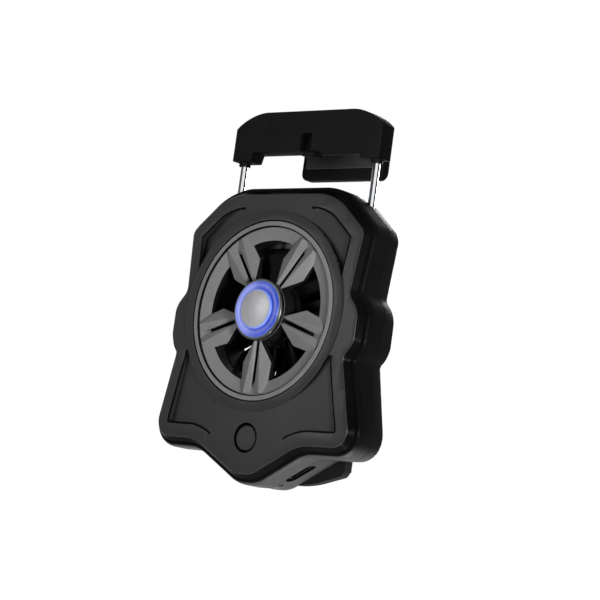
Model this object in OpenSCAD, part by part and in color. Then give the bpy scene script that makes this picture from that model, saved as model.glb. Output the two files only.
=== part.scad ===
// Clip-on cooling fan for a phone. A sprung upper jaw and a fixed lower hook grip the handset,
// and an axial fan behind a five-spoke grille blows on its back. Lengths are in millimetres.
// Modules draw in a working frame: x right, y up, z to the front, z = 0 at the back of the phone.
// in_row() turns the result to the row frame: x right, y rearward, z up, origin on the fan axis.

/* [Housing outline] */
// Height of the face's top edge above the fan axis
top_y = 29.7; // [27:0.1:33]
// Half length of the top edge before its corner curves
top_half = 17.5; // [14:0.1:20]
// Half width at the shoulders
shoulder_half = 28.2; // [27:0.1:31]
// Height of the shoulder corners
shoulder_y = 20.3; // [17:0.1:23]
// Half width at the waist above the ears
waist_half = 26.7; // [26:0.1:29]
// Half width at the round ears
ear_half = 30; // [29:0.1:33]
// Height of the ears' middle
ear_y = -3.4; // [-6:0.1:-1]
// Straight length of an ear's outer edge
ear_run = 8.4; // [6:0.1:10]
// Half width at the waist below the ears
lower_waist_half = 27.3; // [26:0.1:29]
// Half width at the feet
foot_half = 32.2; // [30:0.1:36]
// Height of the feet's lower edge
foot_y = -32.5; // [-35:0.1:-31]
// Half width of the nose where it leaves the feet
nose_root_half = 17; // [15:0.1:20]
// Half width of the nose at its tip
nose_tip_half = 2.8; // [2.5:0.1:5]
// Height of the nose's tip
nose_y = -40.7; // [-43:0.1:-39]

/* [Housing shells] */
// Height of the face's crown over the back of the phone
face_z = 14.4; // [13.6:0.1:16]
// Radius of the crowned face
crown_r = 450; // [350:10:800]
// Width of the bevel round the face
bevel_w = 1.1; // [0.8:0.1:1.4]
// Depth of the bevel round the face
bevel_d = 1.6; // [1:0.1:2]
// Overhang of the side walls past the face
flare_w = 2.5; // [2.2:0.1:3]
// Thickness of the side walls
wall = 1.6; // [1.2:0.1:2]
// Height of the parting line between the two covers
seam_z = 5.2; // [5.2:0.1:5.6]
// Height of the rear cover's back face
back_z = 0.8; // [0.6:0.1:1]
// Thickness of the rear cover's floor
floor_t = 1.2; // [1:0.1:1.3]
// Depth of the sunk face panels at their outer corners
panel_d = 1.3; // [0.8:0.1:1.5]
// Width of the border round the sunk panels
panel_border = 3.8; // [3:0.1:4.5]
// Distance from the middle where the sunk panels run out
panel_fade = 11; // [9:0.1:13]

/* [Grille and light] */
// Radius of the grille insert
grille_r = 22.6; // [21.5:0.1:23]
// Gap between the grille insert and the front cover
grille_gap = 0.35; // [0.2:0.05:0.5]
// Radius of the air intake
intake_r = 17.9; // [17.9:0.1:18.4]
// Radius of the groove inside the grille's rim
groove_r = 21.3; // [20.6:0.1:21.4]
// Drop from the grille's rim to its ring
ring_drop = 0.55; // [0.1:0.05:0.7]
// Radius of the raised collar round the grille
collar_r = 25.4; // [25:0.1:26]
// Number of grille spokes
spokes = 5; // [4:1:5]
// Half width of a spoke at its widest
spoke_half = 4.65; // [3.5:0.05:5]
// Half width of a spoke at the hub
spoke_root_half = 1.25; // [1.1:0.05:2.6]
// Width of the slot down the middle of a spoke
spoke_slot = 0.85; // [0.6:0.05:1.2]
// Depth of a spoke's fins from ridge to underside
fin_d = 2.2; // [2:0.1:2.6]
// Drop from a fin's ridge to its outer edge
fin_eave = 1.1; // [0.8:0.05:1.3]
// Drop from a fin's ridge to the slot
fin_slot_eave = 0.8; // [0.4:0.05:1]
// Radius of the hub
hub_r = 7.75; // [7.6:0.05:8.2]
// Height of the light ring over the back of the phone
light_z = 16.2; // [15.8:0.1:17]
// Outer radius of the light ring
light_r = 7.1; // [7:0.05:7.2]
// Radius of the hub cap
cap_r = 5; // [4.4:0.1:5.4]
// Height of the hub cap's edge over the light ring
cap_rise = 0.35; // [0.1:0.05:0.6]
// Number of lamps on the light board
lamps = 6; // [4:1:8]

/* [Fan] */
// Number of fan blades
blades = 11; // [9:1:11]
// Number of guide vanes behind the fan
vanes = 24; // [16:1:26]
// Thickness of a guide vane
vane_t = 0.9; // [0.8:0.05:1]
// Radius of the fan at its blade tips
fan_r = 17.2; // [16.4:0.1:17.3]
// Radius of the fan's hub
fan_hub_r = 8.2; // [8.2:0.1:8.6]
// Height of the fan's front over the back of the phone
fan_top_z = 9.4; // [9.2:0.1:9.6]
// Radius of the fan's shaft
shaft_r = 0.75; // [0.6:0.05:0.9]
// Number of stator poles
poles = 6; // [4:1:6]

/* [Clamp] */
// Width of the phone between the two pads as drawn
grip = 77.8; // [72:0.1:86]
// Height of the lower pad's face
shelf_y = -33; // [-33.4:0.1:-33]
// Thickness of the phone
phone_t = 8.1; // [7:0.1:10]
// Half width of the upper jaw
jaw_half = 24.3; // [24:0.1:26]
// Thickness of the upper jaw's plate
jaw_t = 4.9; // [4.5:0.1:5.2]
// Front face of the upper jaw over the back of the phone
jaw_z = 6.4; // [6.4:0.1:7]
// Radius of a sliding rod
rod_r = 0.9; // [0.8:0.05:1]
// Rods from the middle
rod_x = 22; // [21.8:0.1:22.2]
// Rods over the back of the phone
rod_z = 3.9; // [3.85:0.05:3.95]
// How far the upper jaw opens
jaw_open = 12; // [8:0.5:12]
// How far the upper jaw closes
jaw_close = 8.5; // [6:0.5:8.5]
// Wire thickness of a clamp spring
spring_wire = 0.5; // [0.4:0.05:0.5]
// Turns of a clamp spring
spring_turns = 11; // [8:1:13]
// Half width of the lower hook
hook_half = 20.4; // [19:0.1:22]
// Thickness of the hook's and the lips' walls
hook_t = 2.4; // [2:0.1:2.8]
// Reach of the lips over the front of the phone
lip = 4; // [3:0.1:5]
// Thickness of the rubber pads
pad_t = 1; // [0.8:0.1:1.2]

/* [Button and port] */
// Radius of the power button
button_r = 3.1; // [2.6:0.1:3.3]
// Gap round the power button
button_gap = 0.65; // [0.4:0.05:0.8]
// Height of the power button below the fan axis
button_y = -31.8; // [-32.4:0.1:-31.2]
// Travel of the power button
button_travel = 0.6; // [0.4:0.05:0.7]
// Width of the charging port
port_w = 8.9; // [7.4:0.1:9]
// Height of the charging port
port_h = 3.1; // [2.6:0.1:3.1]
// Length of the battery
battery_w = 11; // [8:0.1:11]
// Width of the battery
battery_h = 8.4; // [6:0.1:8.4]

/* [Hidden] */
$fn = 72;
slack = 0.05;
run = 0.05;
clear = 0.3;
// Corner list of half the face outline: x, y, fillet radius, steps of the fillet
half_face = [[top_half, top_y, 16, 6], [shoulder_half, shoulder_y, 2.5, 4],
    [waist_half, ear_y + ear_run / 2 + 3.6, 4, 4], [ear_half, ear_y + ear_run / 2, 5, 4],
    [ear_half, ear_y - ear_run / 2, 5, 4], [lower_waist_half, ear_y - ear_run / 2 - 3, 3.4, 4],
    [foot_half, foot_y, 4, 6], [nose_root_half, foot_y - 0.2, 13, 4], [nose_tip_half, nose_y, 8, 4]];
face_corners = concat([for (c = half_face) [-c[0], c[1], c[2], c[3]]],
    [for (i = [len(half_face) - 1:-1:0]) half_face[i]]);
crown_y = -6;
skirt = flare_w - 0.1;
floor_z = back_z + floor_t;
roof_z = face_z - 4.2;
collar_z = face_z - 0.2;
cavity_in = skirt - wall;
shroud_r = fan_r + 0.7;
shroud_t = 1;
screw_r = 0.95;
screw_at = [[14, top_y - 4.5], [-14, top_y - 4.5], [foot_half - 5, foot_y + 5], [5 - foot_half, foot_y + 5]];
board_z = floor_z + port_h + 0.1;
board_t = 1;
button_flange_r = button_r + button_gap + 0.7;
// The flank of the nose that holds the charging port
flank_a = [nose_root_half, foot_y - 0.2];
flank_b = [nose_tip_half, nose_y];
flank_dir = (flank_a - flank_b) / norm(flank_a - flank_b);
flank_angle = atan2(flank_dir.y, flank_dir.x);
port_mid = flank_b + flank_dir * 8;
light_mid = flank_b + flank_dir * 1.2;
// Rods, springs and their stops along y
jaw_foot_y = grip + shelf_y - 4.6;
jaw_top_y = jaw_foot_y + 12.7;
bush_y = [top_y - 12.7, top_y - 7.3];
bush_r = 1.7;
rod_seat = 7.6;
jaw_round = 16.3;
jaw_shoulder = 10.9;
arch_rise = 2.2;
arch_in = 4.3;
jaw_head_r = 1.65;
driver = 2.4;
pad_end = 1.5;
collar_len = 1.6;
collar_y = bush_y[0] - 25.6 - collar_len;
collar_rod_r = rod_r + 0.7;
spring_mean = rod_r + 0.2 + spring_wire / 2;
bridge_y = grip + shelf_y + pad_t;
bridge_half = 13.5;
hook_back = -(phone_t + 0.9 + hook_t);
guard_r = 9.4;
hook_z = back_z - 2.2;

// Shape helpers

module in_row() {
    rotate([90, 0, 0]) children();
}

module along_y(y0, y1, r) {
    translate([0, y0, 0]) rotate([-90, 0, 0]) cylinder(r = r, h = y1 - y0);
}

module both_sides() {
    children();
    mirror([1, 0, 0]) children();
}

function unit(v) = v / norm(v);

function wrap(list, i) = list[(i + len(list)) % len(list)];

function xy(c) = [c[0], c[1]];

// Corner list moved out by d, edge by edge
function grown(list, d) = [for (i = [0:len(list) - 1])
    let (c = list[i], e = unit(xy(c) - xy(wrap(list, i - 1))), g = unit(xy(wrap(list, i + 1)) - xy(c)),
        n = [e.y, -e.x], m = [g.y, -g.x], q = xy(c) + d * (n + m) / (1 + n * m))
    [q.x, q.y, max(0.3, c[2] + (cross(e, g) > 0 ? d : -d)), c[3]]];

// Points of one filleted corner
function fillet(p, c, q, r, steps) =
    let (u = unit(p - c), w = unit(q - c), half = acos(u * w) / 2, mid = c + unit(u + w) * r / sin(half),
        a = c + u * r / tan(half) - mid, start = atan2(a.y, a.x), swing = 180 - 2 * half,
        turn = cross(c - p, q - c) > 0 ? swing : -swing)
    [for (k = [0:steps]) mid + r * [cos(start + turn * k / steps), sin(start + turn * k / steps)]];

function rounded(list) = [for (i = [0:len(list) - 1])
    each fillet(xy(wrap(list, i - 1)), xy(list[i]), xy(wrap(list, i + 1)), list[i][2], list[i][3])];

function face_line(d) = rounded(grown(face_corners, d));

function crown(p) = face_z - (p.x * p.x + (p.y - crown_y) * (p.y - crown_y)) / (2 * crown_r);

function level(line, z) = [for (p = line) [p.x, p.y, z]];

function crowned(line, drop) = [for (p = line) [p.x, p.y, crown(p) - drop]];

function shrunk(line, s) = [for (p = line) [p.x * s, crown_y + (p.y - crown_y) * s]];

// Skin through rings of equal count, counter-clockwise from the front, from rear to front.
// With strips, the ends are closed across from one side of the ring to the other.
module loft(rings, strips = false) {
    n = len(rings[0]);
    last = (len(rings) - 1) * n;
    cap = strips ? [for (k = [0:n / 2 - 2]) each [[k, k + 1, n - 2 - k], [k, n - 2 - k, n - 1 - k]]]
        : [[for (i = [0:n - 1]) i]];
    sides = [for (k = [0:len(rings) - 2], i = [0:n - 1]) let (a = k * n + i, b = k * n + (i + 1) % n)
        each [[a, a + n, b + n], [a, b + n, b]]];
    polyhedron([for (r = rings) each r], concat(cap, sides,
        [for (f = cap) [for (i = [len(f) - 1:-1:0]) last + f[i]]]));
}

module slab(line, z0, z1) {
    translate([0, 0, z0]) linear_extrude(z1 - z0) polygon(line);
}

module rounded_bar(x, y, z0, z1, r) {
    translate([0, 0, z0]) linear_extrude(z1 - z0) rounded_square(x, y, r);
}

module rounded_square(x, y, r) {
    polygon(rounded([[-x / 2, y / 2, r, 6], [-x / 2, -y / 2, r, 6], [x / 2, -y / 2, r, 6], [x / 2, y / 2, r, 6]]));
}

module tube(r0, r1, z0, z1) {
    translate([0, 0, z0]) difference() {
        cylinder(r = r1, h = z1 - z0);
        translate([0, 0, -1]) cylinder(r = r0, h = z1 - z0 + 2);
    }
}

module disc(r, z0, z1) {
    translate([0, 0, z0]) cylinder(r = r, h = z1 - z0);
}

// Flat cutter that takes off all the housing from height z over a depth, to the rear if that is negative
module half_space(z, depth) {
    reach = 2 * max(foot_half, top_y, -nose_y);
    translate([-reach, -reach, min(z, z + depth)]) cube([2 * reach, 2 * reach, abs(depth)]);
}

module at_screws() {
    for (p = screw_at) translate([p.x, p.y, 0]) children();
}

// Frame on the flank of the nose: x along the flank, y out of the wall
module on_flank(mid) {
    translate([mid.x, mid.y, 0]) rotate([0, 0, flank_angle]) mirror([0, 1, 0]) children();
}

module port_face(grow) {
    rounded_square(port_w + 2 * grow, port_h + 2 * grow, port_h / 2 - 0.1 + grow);
}

// Front half of the housing

// Sunk panel: its flat floor is deepest at its outer corner and rises to meet the crowned face at panel_fade
module panel_cut(upper) {
    outer = upper ? [shoulder_half - panel_border, shoulder_y - 4] : [foot_half - panel_border, foot_y + 6];
    ends = upper ? [[panel_fade, top_y - 3.2], [panel_fade, top_y - 7.3]]
        : [[panel_fade + 1, foot_y + 11], [panel_fade + 1, foot_y + 1.5]];
    fall = (crown(ends[0]) - crown(ends[1])) / (ends[0].y - ends[1].y);
    rise = (crown(ends[0]) - crown(outer) + panel_d - fall * (ends[0].y - outer.y)) / (outer.x - ends[0].x);
    far = foot_half + 8;
    span = upper ? [5, top_y + 5] : [nose_y - 5, ear_y - ear_run / 2 - 2.9];
    plan = [[panel_fade - 3, span[0]], [far, span[0]], [far, span[1]], [panel_fade - 3, span[1]]];
    floor_at = [for (p = plan) [p.x, p.y, crown(outer) - panel_d + rise * (outer.x - p.x) + fall * (p.y - outer.y)]];
    intersection() {
        difference() {
            slab(rounded(grown(face_corners, -panel_border + 0.01)), roof_z - 2, face_z + 1);
            disc(collar_r, roof_z - 3, face_z + 2);
        }
        loft([floor_at, level(plan, face_z + 4)]);
    }
}

module front_cover() {
    color([0.2, 0.2, 0.21]) in_row() difference() {
        union() {
            difference() {
                union() {
                    loft([level(face_line(skirt), seam_z - 1), level(face_line(skirt), seam_z),
                        crowned(face_line(flare_w), bevel_d + 2.2),
                        crowned(face_line((bevel_w + flare_w) / 2 + 0.1), bevel_d + 0.7),
                        crowned(face_line(bevel_w), bevel_d), crowned(face_line(0), 0), crowned(shrunk(face_line(0), 0.8), 0),
                        crowned(shrunk(face_line(0), 0.6), 0), level(shrunk(face_line(0), 0.3), face_z - 0.1)]);
                    disc(collar_r, roof_z, collar_z);
                }
                half_space(seam_z, -4);
                slab(face_line(cavity_in), seam_z - 2, roof_z);
                both_sides() panel_cut(true);
                both_sides() panel_cut(false);
            }
            at_screws() disc(2.3, seam_z, roof_z + 0.2);
        }
        disc(grille_r + grille_gap, seam_z - 1, face_z + 2);
        translate([0, button_y, 0]) disc(button_r + button_gap, roof_z - 1, face_z + 2);
        at_screws() disc(screw_r + slack, seam_z - 1, seam_z + 4);
    }
}

// One half of a spoke: a fin with a roof whose ridge runs from the hub to the groove
module fin() {
    s = spoke_slot / 2;
    root = hub_r - 0.45;
    wide = (root + intake_r) / 2 + 0.4;
    tip = groove_r - 0.3;
    plan = [[root, s], [tip, s], [tip - 0.6, spoke_half - 0.35], [wide, spoke_half], [root, spoke_root_half]];
    eave = [for (p = plan) [p.x, p.y, collar_z - (p.y > s ? fin_eave : fin_slot_eave)]];
    ridge = [[root, (s + spoke_root_half) / 2, collar_z], [tip - 0.3, (s + spoke_half) / 2, collar_z - 0.15]];
    polyhedron(concat(level(plan, collar_z - fin_d), eave, ridge),
        concat([[0, 1, 2, 3, 4]], [for (i = [0:4]) [i, i + 5, (i + 1) % 5 + 5, (i + 1) % 5]],
            [[5, 10, 11], [5, 11, 6], [6, 11, 7], [7, 11, 8], [8, 11, 10], [8, 10, 9], [9, 10, 5]]));
}

module front_grille() {
    flange_r = grille_r + 1.6;
    cone = collar_z - 1.2;
    color([0.36, 0.36, 0.37]) in_row() {
        rotate_extrude() polygon([[intake_r, roof_z - 1], [flange_r, roof_z - 1], [flange_r, roof_z],
            [grille_r, roof_z], [grille_r, collar_z - 0.3], [grille_r - 0.3, collar_z], [groove_r + 0.15, collar_z],
            [groove_r + 0.15, collar_z - 0.9], [groove_r - 0.15, collar_z - 0.9], [groove_r - 0.15, collar_z - ring_drop],
            [intake_r, cone], [intake_r, cone - 0.1]]);
        difference() {
            disc(hub_r, collar_z - 3.4, collar_z + 0.3);
            disc(light_r - 0.2 + slack, collar_z - 2.2, collar_z + 1);
        }
        for (i = [0:spokes - 1]) rotate([0, 0, 270 + 360 * i / spokes]) {
            fin();
            mirror([0, 1, 0]) fin();
        }
    }
}

module hub_bezel() {
    color([0.7, 0.71, 0.73]) in_row() rotate_extrude() polygon([[light_r + slack, collar_z + 0.3],
        [hub_r, collar_z + 0.3], [hub_r, light_z - 0.7], [hub_r - 0.3, light_z - 0.4],
        [light_r + slack, light_z - 0.4]]);
}

module light_ring() {
    color([0.25, 0.5, 1, 0.85]) in_row() rotate_extrude() polygon([[cap_r + slack, collar_z - 0.6],
        [light_r - 0.2, collar_z - 0.6], [light_r - 0.2, collar_z + 0.3], [light_r, collar_z + 0.3],
        [light_r, light_z - 0.35], [light_r - 0.35, light_z], [cap_r + 0.35, light_z], [cap_r + slack, light_z - 0.3]]);
}

module hub_cap() {
    dome = 30;
    rim = light_z + cap_rise;
    color([0.82, 0.83, 0.86]) in_row() {
        intersection() {
            disc(cap_r, collar_z - 0.6, light_z + 3);
            translate([0, 0, rim - sqrt(dome * dome - cap_r * cap_r)]) sphere(r = dome, $fn = 96);
        }
        disc(cap_r - 1.8, collar_z - 1.4, collar_z - 0.5);
    }
}

module light_board() {
    color([0.1, 0.3, 0.2]) in_row() {
        disc(light_r - 0.3, collar_z - 2.2, collar_z - 1.4);
        for (i = [0:lamps - 1]) rotate([0, 0, 360 * i / lamps])
            translate([cap_r + 0.85, 0, collar_z - 1.4 - slack + 0.375]) cube([1.2, 1.6, 0.75], center = true);
    }
}

// Rear half of the housing

// Guide vanes across the air opening, slanted against the blades
module guard_vanes() {
    z = [back_z + 0.15, floor_z + 0.3];
    lean = (z[1] - z[0]) / 2;
    half = vane_t / 2 / cos(45);
    for (i = [0:vanes - 1]) rotate([0, 0, 360 * (i + 0.5) / vanes]) translate([guard_r - 0.4, 0, 0])
        rotate([90, 0, 90]) linear_extrude(shroud_r - guard_r + 0.7)
            polygon([[lean - half, z[0]], [lean + half, z[0]], [half - lean, z[1]], [-half - lean, z[1]]]);
}

module stake_at() {
    both_sides() translate([4.8, shelf_y - pad_t - hook_t - 1.9, 0]) children();
}

module pin_at() {
    both_sides() translate([6.4, shelf_y - pad_t - hook_t / 2, 0]) children();
}

module rear_cover() {
    color([0.15, 0.15, 0.16]) in_row() difference() {
        union() {
            difference() {
                loft([level(face_line(skirt - 1.3), back_z - 1), level(face_line(skirt - 1.3), back_z),
                    level(face_line(skirt - 0.7), back_z + 0.25), level(face_line(skirt - 0.3), back_z + 0.9),
                    level(face_line(skirt), seam_z), level(face_line(skirt), seam_z + 1)]);
                half_space(back_z, -4);
                half_space(seam_z, 4);
                slab(face_line(cavity_in - 0.3), floor_z, seam_z + 2);
                tube(guard_r, shroud_r, back_z - 1, floor_z + 1);
            }
            guard_vanes();
            tube(shroud_r, shroud_r + shroud_t, back_z + 0.2, roof_z - 1.2);
            disc(3.2, floor_z - 0.1, floor_z + 1);
            at_screws() disc(2.9, back_z + 0.3, seam_z);
            both_sides() translate([rod_x - 2.6, bush_y[0], floor_z - 0.1])
                cube([5.2, bush_y[1] - bush_y[0] + 0.4, seam_z - floor_z + 0.1]);
            stake_at() disc(1.1, hook_z - hook_t - 0.2, back_z + 0.5);
            stake_at() disc(1.7, hook_z - hook_t - 0.8, hook_z - hook_t - slack);
            pin_at() disc(0.7, hook_z, back_z + 0.5);
        }
        disc(2 + slack, floor_z, floor_z + 2);
        at_screws() disc(screw_r + 0.2, back_z - 1, seam_z + 1);
        at_screws() disc(2.1, back_z - 1, back_z + 1.4);
        both_sides() translate([rod_x, 0, rod_z]) {
            along_y(bush_y[0] - 1, bush_y[1], bush_r + slack);
            along_y(bush_y[1] - 1, top_y + 3, rod_r + 0.2);
        }
        on_flank(port_mid) translate([0, 8, floor_z + 0.05 + port_h / 2]) rotate([90, 0, 0])
            linear_extrude(16) port_face(slack);
        on_flank(light_mid) translate([0, -4, floor_z + port_h / 2]) rotate([-90, 0, 0]) cylinder(r = 0.7, h = 9);
        rear_pad_shapes(back_z + 0.3, slack);
    }
}

module rear_pad_shapes(z1, grow) {
    r = shroud_r + 4.2;
    disc(7.5 + grow, 0, z1);
    for (i = [0:3]) rotate([0, 0, 20 + 90 * i]) rotate_extrude(angle = 50)
        translate([r - 1.5 - grow, 0]) square([3 + 2 * grow, z1]);
}

module rear_pads() {
    color([0.09, 0.09, 0.1]) in_row() rear_pad_shapes(back_z + 0.3, 0);
}

// Fan and its motor

module bearing_sleeve() {
    color([0.72, 0.56, 0.28]) in_row() tube(shaft_r + run, 2, floor_z, fan_top_z - 2.3);
}

module stator_core() {
    z0 = floor_z + 1.2;
    z1 = z0 + 2.6;
    color([0.55, 0.56, 0.58]) in_row() {
        tube(2 + slack, 3.3, floor_z + 1, z1 + 0.4);
        intersection() {
            disc(6, z0, z1);
            for (i = [0:poles - 1]) rotate([0, 0, 360 * i / poles]) {
                translate([2.6, -0.7, z0 - 1]) cube([4.4, 1.4, z1 - z0 + 2]);
                translate([5.3, -2, z0 - 1]) cube([2, 4, z1 - z0 + 2]);
            }
        }
    }
}

module stator_coils() {
    z0 = floor_z + 1.2;
    color([0.72, 0.4, 0.2]) in_row() for (i = [0:poles - 1]) rotate([0, 0, 360 * i / poles])
        translate([3.7, 0, 0]) difference() {
            translate([0, -1.3, z0 - 0.6]) cube([1.5, 2.6, 3.8]);
            translate([-1, -0.75, z0 - 0.05]) cube([4, 1.5, 2.7]);
        }
}

// Closed blade section at radius r, counter-clockwise as seen from the tip, wrapped round the axis
function blade_ring(r) =
    let (out = (r - fan_hub_r) / (fan_r - fan_hub_r), chord = 6.6 + 3.8 * out, pitch = 49 - 20.5 * out, steps = 5,
        side = function(k, h) let (t = k / steps - 0.5) [t * chord, 0.9 * (1 - 4 * t * t) + h * (1.15 - 1.5 * t * t)],
        loop = concat([for (k = [0:steps]) side(k, -0.3)], [for (k = [steps:-1:0]) side(k, 0.3)]))
    [for (p = loop) let (s = p.x * cos(pitch) - p.y * sin(pitch), a = s / r * 180 / PI)
        [r * cos(a), r * sin(a), (floor_z + fan_top_z) / 2 + 0.4 + p.x * sin(pitch) + (p.y - 0.5) * cos(pitch)]];

module blade() {
    steps = 4;
    root = fan_hub_r - 0.38;
    loft([for (k = [0:steps]) blade_ring(root + (fan_r - root) * k / steps)], true);
}

module fan_impeller() {
    color([0.06, 0.06, 0.07]) in_row() {
        difference() {
            disc(fan_hub_r, floor_z + 0.6, fan_top_z);
            disc(fan_hub_r - 0.7, floor_z, fan_top_z - 1.4);
            disc(shaft_r + 0.01, floor_z, fan_top_z - 0.3);
        }
        for (i = [0:blades - 1]) rotate([0, 0, 360 * i / blades]) blade();
    }
}

module rotor_yoke() {
    r = fan_hub_r - 0.7 - 0.01;
    color([0.5, 0.5, 0.52]) in_row() difference() {
        disc(r, floor_z + 0.8, fan_top_z - 1.4);
        disc(r - 0.5, floor_z, fan_top_z - 1.9);
        disc(shaft_r + 0.01, floor_z, fan_top_z);
    }
}

module rotor_magnet() {
    r = fan_hub_r - 0.7 - 0.51 - 0.01;
    color([0.25, 0.22, 0.2]) in_row() tube(r - 0.65, r, floor_z + 1, fan_top_z - 2.1);
}

module fan_shaft() {
    color([0.75, 0.76, 0.78]) in_row() disc(shaft_r, floor_z + 0.3, fan_top_z - 0.35);
}

// Electrics

module control_board() {
    half = nose_root_half - 1;
    color([0.08, 0.28, 0.16]) in_row() slab(rounded([[-half, -shroud_r - 2.4, 1, 4], [-half, foot_y + 1.2, 1, 4],
        [-6.2, nose_y + 4.4, 1, 4], [4.6, nose_y + 4.4, 1, 4], [half, foot_y + 2.6, 1, 4],
        [half, -shroud_r - 2.4, 1, 4]]), board_z, board_z + board_t);
}

module button_switch() {
    z = board_z + board_t;
    color([0.7, 0.7, 0.72]) in_row() translate([0, button_y, 0]) {
        translate([-2.6, -2.6, z]) cube([5.2, 5.2, 1]);
        disc(1.2, z + 0.9, z + 1.25);
    }
}

module power_button() {
    flange_z = roof_z - clear;
    color([0.18, 0.18, 0.19]) in_row() translate([0, button_y, 0]) {
        rotate_extrude() polygon([[0, flange_z - 1], [button_flange_r, flange_z - 1],
            [button_flange_r, flange_z], [button_r, flange_z], [button_r, face_z - 1.05],
            [button_r - 0.3, face_z - 0.75], [0, face_z - 0.65]]);
        disc(1, board_z + board_t + 1.25 + button_travel + 0.15, flange_z - 0.9);
    }
}

module charge_port() {
    depth = 7.2;
    skin = 0.3;
    color([0.66, 0.67, 0.69]) in_row() on_flank(port_mid) translate([0, skirt - 0.9, floor_z + 0.05 + port_h / 2])
        rotate([90, 0, 0]) {
            linear_extrude(depth) difference() {
                port_face(0);
                port_face(-skin);
            }
            translate([0, 0, depth - 1.4]) linear_extrude(1.4) port_face(0);
            translate([-3.3, -0.35, 1]) cube([6.6, 0.7, depth - 2]);
        }
}

module charge_light() {
    color([0.85, 0.9, 0.95]) in_row() on_flank(light_mid) translate([0, 0, floor_z + port_h / 2])
        along_y(skirt - 2.4, skirt - 0.5, 0.65);
}

module battery_cell() {
    z = board_z + board_t + 0.1;
    edge = -(button_flange_r + 2 * clear);
    color([0.5, 0.52, 0.56]) in_row() translate([edge - battery_w / 2, -shroud_r - 4.3 - battery_h / 2, 0]) {
        translate([0, 0, z]) linear_extrude(roof_z - 1 - clear - z) rounded_square(battery_w, battery_h, 1);
        translate([battery_w / 2 - 0.2, -1.6, z]) cube([0.8, 3.2, 1]);
    }
}

module case_screws() {
    color([0.3, 0.3, 0.32]) in_row() at_screws() difference() {
        union() {
            disc(1.95, back_z + 0.5, back_z + 1.4);
            disc(screw_r, back_z + 1.3, seam_z + 3.6);
        }
        for (a = [0, 90]) rotate([0, 0, a]) translate([-1.2, -0.2, back_z]) cube([2.4, 0.4, 1]);
    }
}

// Clamp

module rod_bushes() {
    color([0.7, 0.58, 0.34]) in_row() both_sides() translate([rod_x, 0, rod_z]) difference() {
        along_y(bush_y[0], bush_y[1], bush_r);
        along_y(bush_y[0] - 1, bush_y[1] + 1, rod_r + run);
    }
}

module clamp_rods() {
    color([0.85, 0.86, 0.88]) in_row() both_sides() translate([rod_x, 0, rod_z])
        along_y(collar_y - 0.3, jaw_foot_y + rod_seat, rod_r);
}

module rod_collars() {
    color([0.35, 0.35, 0.37]) in_row() both_sides() translate([rod_x, 0, rod_z]) difference() {
        along_y(collar_y, collar_y + collar_len, collar_rod_r);
        along_y(collar_y - 1, collar_y + collar_len + 1, rod_r + 0.01);
    }
}

module spring() {
    sides = 6;
    per_turn = 8;
    rings = spring_turns * per_turn;
    y0 = collar_y + collar_len + slack;
    rise = bush_y[0] - slack - y0 - spring_wire;
    echo(spring_gap = rise / spring_turns - spring_wire);
    path = [for (k = [0:rings]) let (a = 360 * k / per_turn)
        [for (j = [0:sides - 1]) let (b = 360 * j / sides, r = spring_mean + spring_wire / 2 * cos(b))
            [r * cos(a), y0 + spring_wire / 2 + rise * k / rings + spring_wire / 2 * sin(b), r * sin(a)]]];
    n = sides;
    skin = [for (k = [0:rings - 1], j = [0:n - 1]) let (a = k * n + j, b = k * n + (j + 1) % n)
        each [[a, b, b + n], [a, b + n, a + n]]];
    polyhedron([for (p = path) each p], concat([[for (j = [n - 1:-1:0]) j]], skin,
        [[for (j = [0:n - 1]) rings * n + j]]));
}

module left_spring() {
    color([0.62, 0.63, 0.65]) in_row() translate([-rod_x, 0, rod_z]) spring();
}

module right_spring() {
    color([0.62, 0.63, 0.65]) in_row() translate([rod_x, 0, rod_z]) spring();
}

module jaw_outline() {
    r = jaw_round;
    flat = jaw_half - jaw_shoulder;
    side = jaw_top_y - r + sqrt(r * r - (jaw_half - flat) * (jaw_half - flat));
    arc = [for (k = [0:8]) let (x = jaw_half - (jaw_half - flat) * k / 8)
        [x, jaw_top_y - r + sqrt(r * r - (x - flat) * (x - flat))]];
    arch = jaw_foot_y + arch_rise;
    arch_half = rod_x - arch_in;
    leg = arch_half + 0.6;
    polygon(concat([[arch_half, arch], [leg, jaw_foot_y], [jaw_half, jaw_foot_y]], arc,
        [for (k = [8:-1:0]) [-arc[k].x, arc[k].y]], [[-jaw_half, jaw_foot_y], [-leg, jaw_foot_y], [-arch_half, arch]]));
}

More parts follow.
